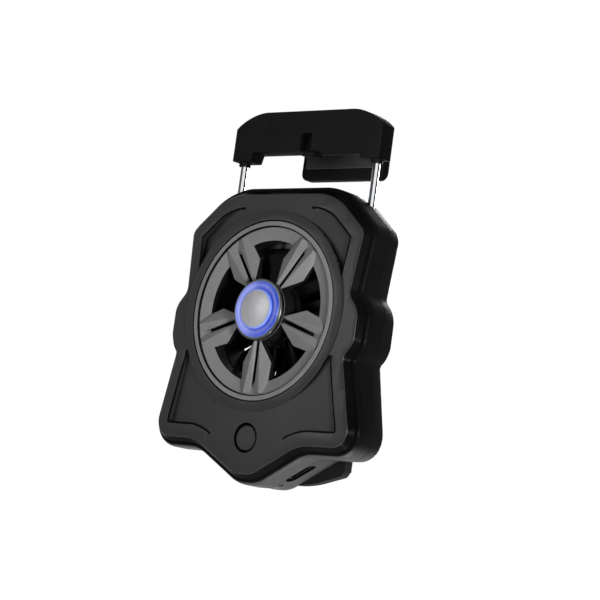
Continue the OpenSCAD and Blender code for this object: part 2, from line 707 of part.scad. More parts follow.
module upper_jaw() {
    back = jaw_z - jaw_t;
    notch = 3.7;
    color([0.13, 0.13, 0.14]) in_row() difference() {
        union() {
            translate([0, 0, back]) linear_extrude(jaw_t) jaw_outline();
            translate([-bridge_half, bridge_y, hook_back]) cube([2 * bridge_half, hook_t, back + 0.1 - hook_back]);
            translate([0, bridge_y + hook_t, hook_back]) linear_extrude(hook_t)
                polygon(rounded([[-bridge_half, 0, 0.3, 2], [-bridge_half, -lip - pad_t - hook_t, 2, 5],
                    [bridge_half, -lip - pad_t - hook_t, 2, 5], [bridge_half, 0, 0.3, 2]]));
            for (x = [-9, 7.4]) translate([x, bridge_y + hook_t - 0.1, 0]) rotate([90, 0, 90])
                linear_extrude(1.6) polygon([[0, back + 0.1], [0, hook_back + 3], [0.6, hook_back + 3], [2.4, back + 0.1]]);
            translate([-notch / 2, jaw_foot_y + 1.2, back]) cube([notch, 2, jaw_t - 1.2]);
            both_sides() translate([rod_x, 0, rod_z]) along_y(jaw_foot_y - 1, jaw_foot_y + 0.2, rod_r + 0.6);
        }
        translate([-notch / 2, jaw_foot_y + 2, jaw_z - 1.8]) cube([notch, 4.8, 3]);
        both_sides() translate([rod_x, 0, rod_z]) along_y(jaw_foot_y - 2, jaw_foot_y + rod_seat + 0.1, rod_r + 0.01);
        both_sides() translate([rod_x, jaw_foot_y + 5.2, back - 1]) cylinder(r = screw_r + slack, h = rod_z - rod_r - back + 1.2);
        both_sides() translate([rod_x, jaw_foot_y + 5.2, back - 1]) cylinder(r = 1.8, h = 1.9);
    }
}

module jaw_screws() {
    back = jaw_z - jaw_t;
    color([0.3, 0.3, 0.32]) in_row() both_sides() translate([rod_x, jaw_foot_y + 5.2, 0]) difference() {
        union() {
            disc(jaw_head_r, back + 0.1, back + 0.9);
            disc(screw_r, back + 0.8, rod_z - rod_r);
        }
        translate([-driver / 2, -0.2, back - 1]) cube([driver, 0.4, 1.5]);
    }
}

module upper_jaw_pad() {
    half = bridge_half - pad_end;
    in_z = -(phone_t + 0.2);
    lip_z = -(phone_t + 0.9);
    color([0.08, 0.08, 0.09]) in_row() {
        translate([-half, bridge_y - pad_t, lip_z]) cube([2 * half, pad_t, -lip_z]);
        translate([-half, bridge_y - pad_t - lip + 0.6, lip_z]) cube([2 * half, lip, in_z - lip_z]);
    }
}

module lower_hook() {
    top = shelf_y - pad_t;
    depth = 7.2;
    sag = 3.2;
    r = (hook_half * hook_half + sag * sag) / (2 * sag);
    lip_half = hook_half - 6;
    color([0.13, 0.13, 0.14]) in_row() difference() {
        union() {
            translate([0, 0, hook_z - hook_t]) linear_extrude(hook_t) intersection() {
                polygon(rounded([[-hook_half, top, 0.4, 2], [-hook_half, top - depth + sag, 2.5, 6],
                    [-hook_half + 6, top - depth - 1, 0.5, 2], [hook_half - 6, top - depth - 1, 0.5, 2],
                    [hook_half, top - depth + sag, 2.5, 6], [hook_half, top, 0.4, 2]]));
                translate([0, top - depth + r]) circle(r = r, $fn = 400);
            }
            translate([-8, top - 6, hook_z - 0.1]) cube([16, 6, back_z - hook_z + 0.1]);
            translate([-lip_half, top - hook_t, hook_back]) cube([2 * lip_half, hook_t, hook_z - 0.1 - hook_back]);
            translate([0, top - hook_t, hook_back]) linear_extrude(hook_t)
                polygon(rounded([[-lip_half, lip + pad_t + hook_t, 2, 5], [-lip_half, 0, 0.3, 2],
                    [lip_half, 0, 0.3, 2], [lip_half, lip + pad_t + hook_t, 2, 5]]));
            for (x = [-12.4, 10.8]) translate([x, top - hook_t + 0.1, 0]) rotate([90, 0, 90])
                linear_extrude(1.6) polygon([[0, hook_z - hook_t + 0.1], [-3.4, hook_z - hook_t + 0.1],
                    [-1, hook_back + 2], [0, hook_back + 2]]);
        }
        stake_at() disc(1.1 + slack, hook_z - hook_t - 1, back_z + 1);
        pin_at() disc(0.7 + slack, hook_z - slack, back_z + 1);
    }
}

module lower_hook_pad() {
    half = hook_half - 7;
    in_z = -(phone_t + 0.2);
    lip_z = -(phone_t + 0.9);
    color([0.08, 0.08, 0.09]) in_row() {
        translate([-half, shelf_y - pad_t, lip_z]) cube([2 * half, pad_t, -lip_z]);
        translate([-half, shelf_y - 0.6, lip_z]) cube([2 * half, lip, in_z - lip_z]);
    }
}

front_cover();
front_grille();
hub_bezel();
light_ring();
hub_cap();
light_board();
rear_cover();
rear_pads();
bearing_sleeve();
stator_core();
stator_coils();
fan_impeller();
rotor_yoke();
rotor_magnet();
fan_shaft();
control_board();
button_switch();
power_button();
charge_port();
charge_light();
battery_cell();
case_screws();
rod_bushes();
clamp_rods();
rod_collars();
left_spring();
right_spring();
upper_jaw();
jaw_screws();
upper_jaw_pad();
lower_hook();
lower_hook_pad();
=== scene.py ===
"""Looks of a clip-on phone cooling fan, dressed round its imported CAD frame.

Pieces are drawn in millimetres with x to the right, y up and z to the front, with the fan axis at
x = y = 0 and the back of the phone at z = 0. Each finished mesh is then turned into the frame's metres.
"""

import logging
import math
from dataclasses import dataclass, field
from enum import Enum
from functools import cached_property

import bmesh
import bpy
from mathutils import Matrix, Vector

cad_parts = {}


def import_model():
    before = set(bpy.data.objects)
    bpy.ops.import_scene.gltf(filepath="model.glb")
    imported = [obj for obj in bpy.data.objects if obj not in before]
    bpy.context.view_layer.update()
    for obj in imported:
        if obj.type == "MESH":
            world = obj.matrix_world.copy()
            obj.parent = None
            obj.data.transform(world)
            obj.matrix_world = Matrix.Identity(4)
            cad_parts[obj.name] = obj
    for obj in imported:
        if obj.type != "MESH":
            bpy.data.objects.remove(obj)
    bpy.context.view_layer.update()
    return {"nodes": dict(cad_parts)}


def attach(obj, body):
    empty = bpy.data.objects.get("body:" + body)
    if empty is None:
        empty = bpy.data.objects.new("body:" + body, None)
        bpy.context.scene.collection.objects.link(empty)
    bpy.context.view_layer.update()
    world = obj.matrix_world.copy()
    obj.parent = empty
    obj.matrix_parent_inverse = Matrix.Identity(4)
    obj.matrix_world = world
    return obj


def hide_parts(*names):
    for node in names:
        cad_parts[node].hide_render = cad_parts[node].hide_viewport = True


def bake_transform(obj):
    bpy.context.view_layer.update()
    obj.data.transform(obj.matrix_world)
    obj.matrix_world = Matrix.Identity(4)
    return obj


LOG = logging.getLogger("cooling_fan")
MM = 0.001
TOUCH = 1e-4
TO_ROW = Matrix(((MM, 0, 0, 0), (0, 0, -MM, 0), (0, MM, 0, 0), (0, 0, 0, 1)))
UP = Vector((0, 0, 1))
Colour = tuple[float, float, float]
Point = tuple[float, float]


class Carve(Enum):
    """How one solid changes another."""

    CUT = "DIFFERENCE"
    JOIN = "UNION"
    KEEP = "INTERSECT"


class Zone(Enum):
    """Areas of a moulded cover that have their own finish."""

    WALL = 0
    BEVEL = 1
    FACE = 2


# Shader maths and finishes


class Wire:
    """One shader value; arithmetic on it adds Math nodes."""

    def __init__(self, tree: "FinishTree", socket: bpy.types.NodeSocket) -> None:
        """Keeps the tree and the socket that carries the value."""
        self.tree = tree
        self.socket = socket

    def math(self, operation: str, *terms: "Wire | float") -> "Wire":
        """Adds one Math node.

        Args:
            operation: The Math node's operation.
            terms: Its inputs in order.

        Returns:
            The node's result.
        """
        node = self.tree.add("ShaderNodeMath", {"operation": operation}, dict(enumerate(terms)))
        return self.tree.out(node)

    def __add__(self, other: "Wire | float") -> "Wire":
        """Sum of two values."""
        return self.math("ADD", self, other)

    def __radd__(self, other: float) -> "Wire":
        """Sum with a number on the left."""
        return self.math("ADD", other, self)

    def __sub__(self, other: "Wire | float") -> "Wire":
        """Difference of two values."""
        return self.math("SUBTRACT", self, other)

    def __rsub__(self, other: float) -> "Wire":
        """Difference from a number on the left."""
        return self.math("SUBTRACT", other, self)

    def __mul__(self, other: "Wire | float") -> "Wire":
        """Product of two values."""
        return self.math("MULTIPLY", self, other)

    def __rmul__(self, other: float) -> "Wire":
        """Product with a number on the left."""
        return self.math("MULTIPLY", other, self)

    def __truediv__(self, other: "Wire | float") -> "Wire":
        """Quotient of two values."""
        return self.math("DIVIDE", self, other)

    def __pow__(self, other: float) -> "Wire":
        """Power of a value."""
        return self.math("POWER", self, other)

    def wave(self) -> "Wire":
        """Cosine of the value, moved to run from 0 to 1."""
        return self.math("COSINE", self) * 0.5 + 0.5

    def step(self, low: float, high: float) -> "Wire":
        """Smooth rise from 0 at low to 1 at high.

        Args:
            low: Value where the rise starts.
            high: Value where it ends.

        Returns:
            The eased value, from 0 to 1.
        """
        settings = {"interpolation_type": "SMOOTHSTEP"}
        values = {"Value": self, "From Min": low, "From Max": high}
        return self.tree.out(self.tree.add("ShaderNodeMapRange", settings, values))


class FinishTree:
    """Node tree of a material or a world, with one method that adds any node."""

    def __init__(self, holder: bpy.types.Material | bpy.types.World) -> None:
        """Empties the tree of a material or a world.

        Args:
            holder: The material or world.
        """
        self.holder = holder
        holder.use_nodes = True
        self.nodes = holder.node_tree.nodes
        self.links = holder.node_tree.links
        self.nodes.clear()

    @classmethod
    def named(cls, name: str) -> "FinishTree":
        """Tree of a new material."""
        return cls(bpy.data.materials.new(name))

    @cached_property
    def place(self) -> Wire:
        """The piece's own coordinates, in metres."""
        return self.out(self.add("ShaderNodeTexCoord"), "Object")

    def seen(self, *rays: str) -> Wire:
        """Sum of the named ray tests, such as Is Camera Ray."""
        path = self.add("ShaderNodeLightPath")
        total = self.out(path, rays[0])
        for ray in rays[1:]:
            total = total + self.out(path, ray)
        return total

    def blend(self, share: Wire, low: Wire, high: Wire) -> Wire:
        """Mix of two shaders."""
        return self.out(self.add("ShaderNodeMixShader", None, {0: share, 1: low, 2: high}))

    def add(self, kind: str, settings: dict | None = None, values: dict | None = None) -> bpy.types.Node:
        """Adds a node, sets it up and feeds its sockets.

        Args:
            kind: The node's type.
            settings: Properties that are set first.
            values: Numbers, colours or wires by socket name or number.

        Returns:
            The new node.
        """
        node = self.nodes.new(kind)
        for key, value in (settings or {}).items():
            setattr(node, key, value)
        for key, value in (values or {}).items():
            if isinstance(value, Wire):
                self.links.new(value.socket, node.inputs[key])
            else:
                node.inputs[key].default_value = value
        return node

    def out(self, node: bpy.types.Node, socket: str | int = 0) -> Wire:
        """Wire from one of a node's outputs."""
        return Wire(self, node.outputs[socket])

    def stretched(self, scale: Colour, turn: Colour = (0, 0, 0)) -> Wire:
        """Object coordinates scaled and turned, for a pattern with a direction."""
        values = {"Vector": self.place, "Scale": scale, "Rotation": turn}
        return self.out(self.add("ShaderNodeMapping", None, values))

    def noise(self, scale: float, detail: float = 2, rough: float = 0.5, at: Wire | None = None) -> Wire:
        """Soft noise from 0 to 1.

        Args:
            scale: Features per metre.
            detail: Octaves.
            rough: Strength of the finer octaves.
            at: Coordinates, or the piece's own.

        Returns:
            The noise's value.
        """
        values = {"Vector": at or self.place, "Scale": scale, "Detail": detail, "Roughness": rough}
        return self.out(self.add("ShaderNodeTexNoise", None, values))

    def cells(self, scale: float) -> Wire:
        """Distance field of a cell pattern, with that many cells per metre."""
        values = {"Vector": self.place, "Scale": scale}
        return self.out(self.add("ShaderNodeTexVoronoi", None, values), "Distance")

    def axes(self, of: Wire | None = None) -> tuple[Wire, Wire, Wire]:
        """The x, y and z of a vector, or of the piece's own coordinates in metres."""
        node = self.add("ShaderNodeSeparateXYZ", None, {0: of or self.place})
        return self.out(node, 0), self.out(node, 1), self.out(node, 2)

    @cached_property
    def facing(self) -> Wire:
        """The way that the surface faces."""
        return self.out(self.add("ShaderNodeNewGeometry"), "Normal")

    def edges(self, reach: float) -> Wire:
        """Mask of the sharp edges.

        Args:
            reach: Width of the band beside an edge, in metres.

        Returns:
            A value near 0 on flat faces that rises towards the edges.
        """
        soft = self.out(self.add("ShaderNodeBevel", {"samples": 4}, {"Radius": reach}))
        alike = self.add("ShaderNodeVectorMath", {"operation": "DOT_PRODUCT"}, {0: soft, 1: self.facing})
        return 1.0 - self.out(alike, "Value")

    def mix(self, share: Wire | float, low: Colour | Wire, high: Colour | Wire) -> Wire:
        """Blend of two colours.

        Args:
            share: 0 for low, 1 for high.
            low: First colour.
            high: Second colour.

        Returns:
            The blended colour.
        """
        ends = [(*c, 1) if isinstance(c, tuple) else c for c in (low, high)]
        node = self.add("ShaderNodeMix", {"data_type": "RGBA"}, {0: share, 6: ends[0], 7: ends[1]})
        return self.out(node, 2)

    def bump(self, height: Wire, strength: float, depth: float) -> Wire:
        """Bumped normal from a height field.

        Args:
            height: Height from 0 to 1.
            strength: Share of the bump that shows.
            depth: Depth in metres.

        Returns:
            The bent normal.
        """
        values = {"Strength": strength, "Distance": depth, "Height": height}
        return self.out(self.add("ShaderNodeBump", None, values))

    def principled(self, values: dict) -> Wire:
        """Principled shader with those sockets."""
        return self.out(self.add("ShaderNodeBsdfPrincipled", None, values))

    def surface(self, values: dict) -> bpy.types.Material:
        """Ends the tree in a Principled shader.

        Args:
            values: The shader's sockets.

        Returns:
            The finished material.
        """
        self.add("ShaderNodeOutputMaterial", None, {"Surface": self.principled(values)})
        return self.holder


@dataclass(frozen=True)
class MouldedPlastic:
    """Moulded plastic with a spark-eroded grain, faint flow marks, handling smears and lighter edges that are part edge
    wear, part painted highlight.
    """

    name: str
    colour: Colour
    roughness: float
    specular: float
    grain: float = 2600
    depth: float = 0.00002
    smear: float = 0.07
    wear_and_highlight: float = 0.5
    # Paler colour for low, downward faces: painted light from below.
    under: Colour | None = None

    def material(self) -> bpy.types.Material:
        """Builds the finish.

        Returns:
            The material.
        """
        tree = FinishTree.named(self.name)
        pale = tuple(c * 1.16 + 0.0015 for c in self.colour)
        deep = tuple(c * 0.86 for c in self.colour)
        # Paler colour for the edges: edge wear and painted highlight along the edges.
        rubbed_and_highlit = tuple(c * 1.6 + 0.012 for c in self.colour)
        flow = tree.noise(55, 3, 0.55)
        smears = tree.noise(1, 4, 0.6, tree.stretched((150, 90, 420), (0.3, 0.2, 0.5)))
        pits = tree.cells(self.grain)
        grain = tree.noise(self.grain * 0.6, 3, 0.6) * 0.6 + pits * 0.4
        # Edge mask: lighter, smoother edges stand for edge wear and also act as painted highlights along the edges.
        worn_and_highlit = tree.edges(0.00025).step(0.02, 0.25) * tree.noise(380, 4, 0.65).step(0.4, 0.65) * self.wear_and_highlight
        body = tree.mix((flow * 0.7 + grain * 0.3).step(0.25, 0.75), deep, pale)
        # Low, downward faces get a paler colour: painted light from below.
        if self.under:
            down, low = (0.0 - tree.axes(of)[2] for of in (tree.facing, tree.place))
            body = tree.mix(down.step(0.3, 0.9) * low.step(0.029, 0.034), body, self.under)
        return tree.surface({
            "Base Color": tree.mix(worn_and_highlit, body, rubbed_and_highlit),
            "Roughness": self.roughness + (smears - 0.5) * self.smear + (grain - 0.5) * 0.06 - worn_and_highlit * 0.08,
            "Specular IOR Level": self.specular,
            "Normal": tree.bump(grain, 0.5, self.depth),
        })


@dataclass(frozen=True)
class DrawnMetal:
    """Metal with drawing or turning lines along one axis and a little tarnish."""

    name: str
    colour: Colour
    roughness: float
    lines: Colour = (2400, 2400, 60)
    tarnish: float = 0.12
    depth: float = 0.000006

    def material(self) -> bpy.types.Material:
        """Builds the finish.

        Returns:
            The material.
        """
        tree = FinishTree.named(self.name)
        lines = tree.noise(1, 3, 0.65, tree.stretched(self.lines))
        bloom = tree.noise(220, 3, 0.6)
        dull = tuple(c * (1 - 2 * self.tarnish) for c in self.colour)
        return tree.surface({
            "Base Color": tree.mix(bloom.step(0.35, 0.8) * 0.6 + lines * 0.2, self.colour, dull),
            "Metallic": 1.0,
            "Roughness": self.roughness + (lines - 0.5) * 0.1 + bloom.step(0.5, 0.9) * self.tarnish * 0.5,
            "Normal": tree.bump(lines, 0.35, self.depth),
        })


@dataclass(frozen=True)
class PolishedRod:
    """Bright rod with long, sharp-edged dark stripes along its length, set by angle round its axis: painted
    reflections.
    """

    name: str
    bright: Colour
    dark: Colour
    axis: Point
    painted_reflections: int = 4

    def material(self) -> bpy.types.Material:
        """Builds the finish.

        Returns:
            The material.
        """
        tree = FinishTree.named(self.name)
        x, y, _ = tree.axes()
        turn = x.math("ARCTAN2", y - self.axis[1] * MM, x.math("ABSOLUTE", x) - self.axis[0] * MM)
        fine = tree.noise(1, 2, 0.6, tree.stretched((5200, 5200, 40)))
        waver = tree.noise(1, 2, 0.5, tree.stretched((500, 500, 12)))
        # Dark stripes round the rod, fixed by angle: painted reflection.
        painted_reflections = (turn * float(self.painted_reflections)).wave() + (waver - 0.5) * 0.5
        return tree.surface({
            "Base Color": tree.mix(painted_reflections.step(0.34, 0.54), self.bright, self.dark),
            "Metallic": 1.0,
            "Roughness": 0.08 + fine * 0.08,
            "Normal": tree.bump(fine, 0.3, 0.000004),
        })


@dataclass(frozen=True)
class SoftRubber:
    """Matt rubber with a dusty, pebbled skin."""

    name: str
    colour: Colour
    roughness: float = 0.82

    def material(self) -> bpy.types.Material:
        """Builds the finish.

        Returns:
            The material.
        """
        tree = FinishTree.named(self.name)
        pebbles = tree.cells(1900)
        dust = tree.noise(170, 4, 0.62)
        dusty = tuple(c * 1.7 + 0.01 for c in self.colour)
        return tree.surface({
            "Base Color": tree.mix(dust.step(0.45, 0.85) * 0.55, self.colour, dusty),
            "Roughness": self.roughness + (dust - 0.5) * 0.12,
            "Specular IOR Level": 0.3,
            "Normal": tree.bump(pebbles, 0.45, 0.00004),
        })


@dataclass(frozen=True)
class GlowingRing:
    """Lit blue light guide: paler over the lamps and on one side, with fine prism lines."""

    name: str
    deep: Colour
    pale: Colour
    strength: float
    lamps: int = 6

    def material(self) -> bpy.types.Material:
        """Builds the finish.

        Returns:
            The material.
        """
        tree = FinishTree.named(self.name)
        x, _, z = tree.axes()
        turn = z.math("ARCTAN2", z, x)
        spots = (turn * float(self.lamps)).wave()
        side = (x * -1.0 / (7.1 * MM)).step(-0.9, 1.1)
        prisms = (turn * 90.0).wave()
        haze = tree.noise(420, 2, 0.5)
        share = (side * 0.75 + spots * 0.16 + (haze - 0.5) * 0.2).step(0.0, 1.0)
        unlit = [tuple(c * 0.3 for c in colour) for colour in (self.deep, self.pale)]
        return tree.surface({
            "Base Color": tree.mix(share, *unlit),
            "Emission Color": tree.mix(share, self.deep, self.pale),
            "Emission Strength": self.strength,
            "Roughness": 0.28 + haze * 0.1,
            "Normal": tree.bump(prisms, 0.2, 0.00003),
        })


@dataclass(frozen=True)
class FrostedLens:
    """Pale frosted plastic that picks up the ring's light towards its rim."""

    name: str
    colour: Colour
    rim: Colour
    radius: float

    def material(self) -> bpy.types.Material:
        """Builds the finish.

        Returns:
            The material.
        """
        tree = FinishTree.named(self.name)
        x, _, z = tree.axes()
        out = (x * x + z * z) ** 0.5 / (self.radius * MM)
        frost = tree.noise(1500, 3, 0.6)
        cloud = tree.noise(260, 3, 0.6)
        shade = tuple(c * 0.72 for c in self.colour)
        body = tree.mix(cloud.step(0.3, 0.7) * 0.6, self.colour, shade)
        edge = out.step(0.88, 1.0)
        return tree.surface({
            "Base Color": tree.mix(edge * 0.6, body, self.rim),
            "Emission Color": tree.mix(edge, (0.0, 0.0, 0.0), self.rim),
            "Emission Strength": 0.35,
            "Roughness": 0.3 + frost * 0.12,
            "Coat Weight": 0.3,
            "Coat Roughness": 0.2,
            "Normal": tree.bump(frost, 0.3, 0.00002),
        })


@dataclass(frozen=True)
class CircuitBoard:
    """Solder mask with tracks and pads showing through."""

    name: str
    mask: Colour = (0.012, 0.09, 0.035)
    track: Colour = (0.03, 0.17, 0.07)
    pad: Colour = (0.75, 0.62, 0.35)

    def material(self) -> bpy.types.Material:
        """Builds the finish.

        Returns:
            The material.
        """
        tree = FinishTree.named(self.name)
        bricks = {"Vector": tree.stretched((1, 1, 1), (math.pi / 2, 0, 0)), "Scale": 420.0, "Mortar Size": 0.03}
        tracks = tree.out(tree.add("ShaderNodeTexBrick", None, bricks), "Fac")
        dots = 1.0 - tree.cells(520).step(0.16, 0.2)
        board = tree.mix(tracks, self.mask, self.track)
        return tree.surface({
            "Base Color": tree.mix(dots, board, self.pad),
            "Metallic": dots * 0.9,
            "Roughness": 0.32 + tree.noise(700) * 0.12,
            "Normal": tree.bump(tracks + dots, 0.3, 0.00004),
        })


@dataclass(frozen=True)
class WoundWire:
    """Enamelled winding, with its turns as fine lines."""

    name: str
    colour: Colour = (0.56, 0.21, 0.07)

    def material(self) -> bpy.types.Material:
        """Builds the finish.

        Returns:
            The material.
        """
        tree = FinishTree.named(self.name)
        x, _, z = tree.axes()
        turns = ((x * x + z * z) ** 0.5 * 28000.0).wave()
        dark = tuple(c * 0.35 for c in self.colour)
        return tree.surface({
            "Base Color": tree.mix(turns, dark, self.colour),
            "Metallic": 0.85,
            "Roughness": 0.3 + tree.noise(900) * 0.15,
            "Normal": tree.bump(turns, 0.8, 0.0001),
        })


class Palette:
    """All finishes of the fan, each built once."""

    def __init__(self) -> None:
        """Builds every material."""
        recipes = [
            MouldedPlastic("satin_face", (0.012, 0.012, 0.0122), 0.36, 0.14),
            # Near-black copy of the face plastic for the bevel band, recess walls and panel lines: painted shade and
            # painted dark reflection.
            MouldedPlastic("gloss_bevel", (0.0012, 0.0012, 0.0013), 0.24, 0.006, 3000, 0.000006, 0.04),
            # Blacker copy of the cover plastic for the walls: painted shade. Its paler colour on low, downward faces is
            # painted light from below.
            MouldedPlastic("shell_black", (0.0014, 0.0015, 0.0015), 0.34, 0.014, 2800, 0.000014,
                           under=(0.02, 0.02, 0.0203)),
            MouldedPlastic("grille_grey", (0.13, 0.13, 0.131), 0.4, 0.06, 2600, 0.000016),
            # Black copy of the grille plastic for walls that don't face the front and the groove: painted shade.
            MouldedPlastic("grille_black", (0.004, 0.004, 0.004), 0.4, 0.02, 2600, 0.000016),
            MouldedPlastic("jaw_black", (0.0066, 0.0066, 0.0068), 0.6, 0.01, 2400, 0.00003),
            # Blacker copy of the jaw plastic for its side faces: painted shade.
            MouldedPlastic("jaw_side", (0.0012, 0.0012, 0.0013), 0.5, 0.005, 2400, 0.00002),
            MouldedPlastic("fan_black", (0.0022, 0.0022, 0.0026), 0.25, 0.08, 3200, 0.000004, 0.05),
            MouldedPlastic("button_satin", (0.014, 0.014, 0.0142), 0.4, 0.12),
            MouldedPlastic("switch_grey", (0.3, 0.3, 0.31), 0.4, 0.5),
            # Rods and shaft with painted reflection stripes.
            PolishedRod("chrome_rod", (0.78, 0.79, 0.8), (0.02, 0.022, 0.024), (22.0, -3.9)),
            DrawnMetal("hub_metal", (0.066, 0.07, 0.065), 0.3, (900, 4200, 900), 0.1),
            DrawnMetal("spring_steel", (0.6, 0.61, 0.63), 0.22),
            DrawnMetal("dark_steel", (0.12, 0.12, 0.13), 0.34),
            DrawnMetal("core_steel", (0.5, 0.51, 0.53), 0.36, (60, 5200, 60)),
            DrawnMetal("turned_brass", (0.7, 0.47, 0.19), 0.26, (70, 70, 3600)),
            DrawnMetal("port_plate", (0.09, 0.092, 0.096), 0.32, (900, 900, 300)),
            DrawnMetal("magnet_grey", (0.09, 0.085, 0.08), 0.55, (1500, 1500, 1500), 0.2, 0.00003),
            DrawnMetal("pouch_foil", (0.6, 0.62, 0.65), 0.3, (300, 300, 300), 0.15, 0.00006),
            SoftRubber("pad_rubber", (0.012, 0.012, 0.013)),
            GlowingRing("ring_light", (0.0025, 0.026, 0.32), (0.16, 0.2, 0.56), 1.0),
            FrostedLens("cap_frost", (0.23, 0.23, 0.24), (0.03, 0.1, 0.55), 5.0),
            FrostedLens("light_pipe", (0.012, 0.012, 0.013), (0.01, 0.01, 0.011), 60.0),
            CircuitBoard("board_mask"),
            WoundWire("coil_wire"),
        ]
        self.made = {recipe.name: recipe.material() for recipe in recipes}

    def __getitem__(self, name: str) -> bpy.types.Material:
        """The material of that name."""
        return self.made[name]


# Meshes


@dataclass(frozen=True)
class Corner:
    """A corner of a flat outline, rounded with a radius."""

    x: float
    y: float
    radius: float = 0.0
    steps: int = 6


@dataclass(frozen=True)
class Outline:
    """Closed flat outline, counter-clockwise as seen from the front."""

    corners: tuple[Corner, ...]

    @staticmethod
    def mirrored(half: list[Corner]) -> "Outline":
        """Outline that is alike on both sides.

        Args:
            half: Corners of the right half, from the top down.

        Returns:
            The whole outline.
        """
        left = tuple(Corner(-c.x, c.y, c.radius, c.steps) for c in half)
        return Outline(left + tuple(reversed(half)))

    def legs(self, i: int) -> tuple[Vector, Vector]:
        """Unit directions into and out of one corner."""
        n = len(self.corners)
        a, c, b = (Vector((k.x, k.y)) for k in (self.corners[i - 1], self.corners[i], self.corners[(i + 1) % n]))
        return (c - a).normalized(), (b - c).normalized()

    def moved(self, out: float) -> "Outline":
        """Parallel outline.

        Args:
            out: Distance outwards, in millimetres.

        Returns:
            The outline moved edge by edge, with its radii grown or shrunk to match.
        """
        made = []
        for i, c in enumerate(self.corners):
            into, onward = self.legs(i)
            n, m = Vector((into.y, -into.x)), Vector((onward.y, -onward.x))
            shift = (n + m) * (out / (1 + n.dot(m)))
            grow = out if into.cross(onward) > 0 else -out
            radius = max(0.3, c.radius + grow) if c.radius else 0.0
            made.append(Corner(c.x + shift.x, c.y + shift.y, radius, c.steps))
        return Outline(tuple(made))

    def bite(self, i: int) -> float:
        """Length that a corner's rounding takes off each of its edges, so that its middle lies on the arc."""
        into, onward = self.legs(i)
        half = into.angle(onward) / 2
        if self.corners[i].radius <= 0 or half < 1e-4:
            return 0.0
        sag = self.corners[i].radius * (1 / math.cos(half) - 1)
        return sag / ((2 - math.sqrt(2)) * math.sin(half))


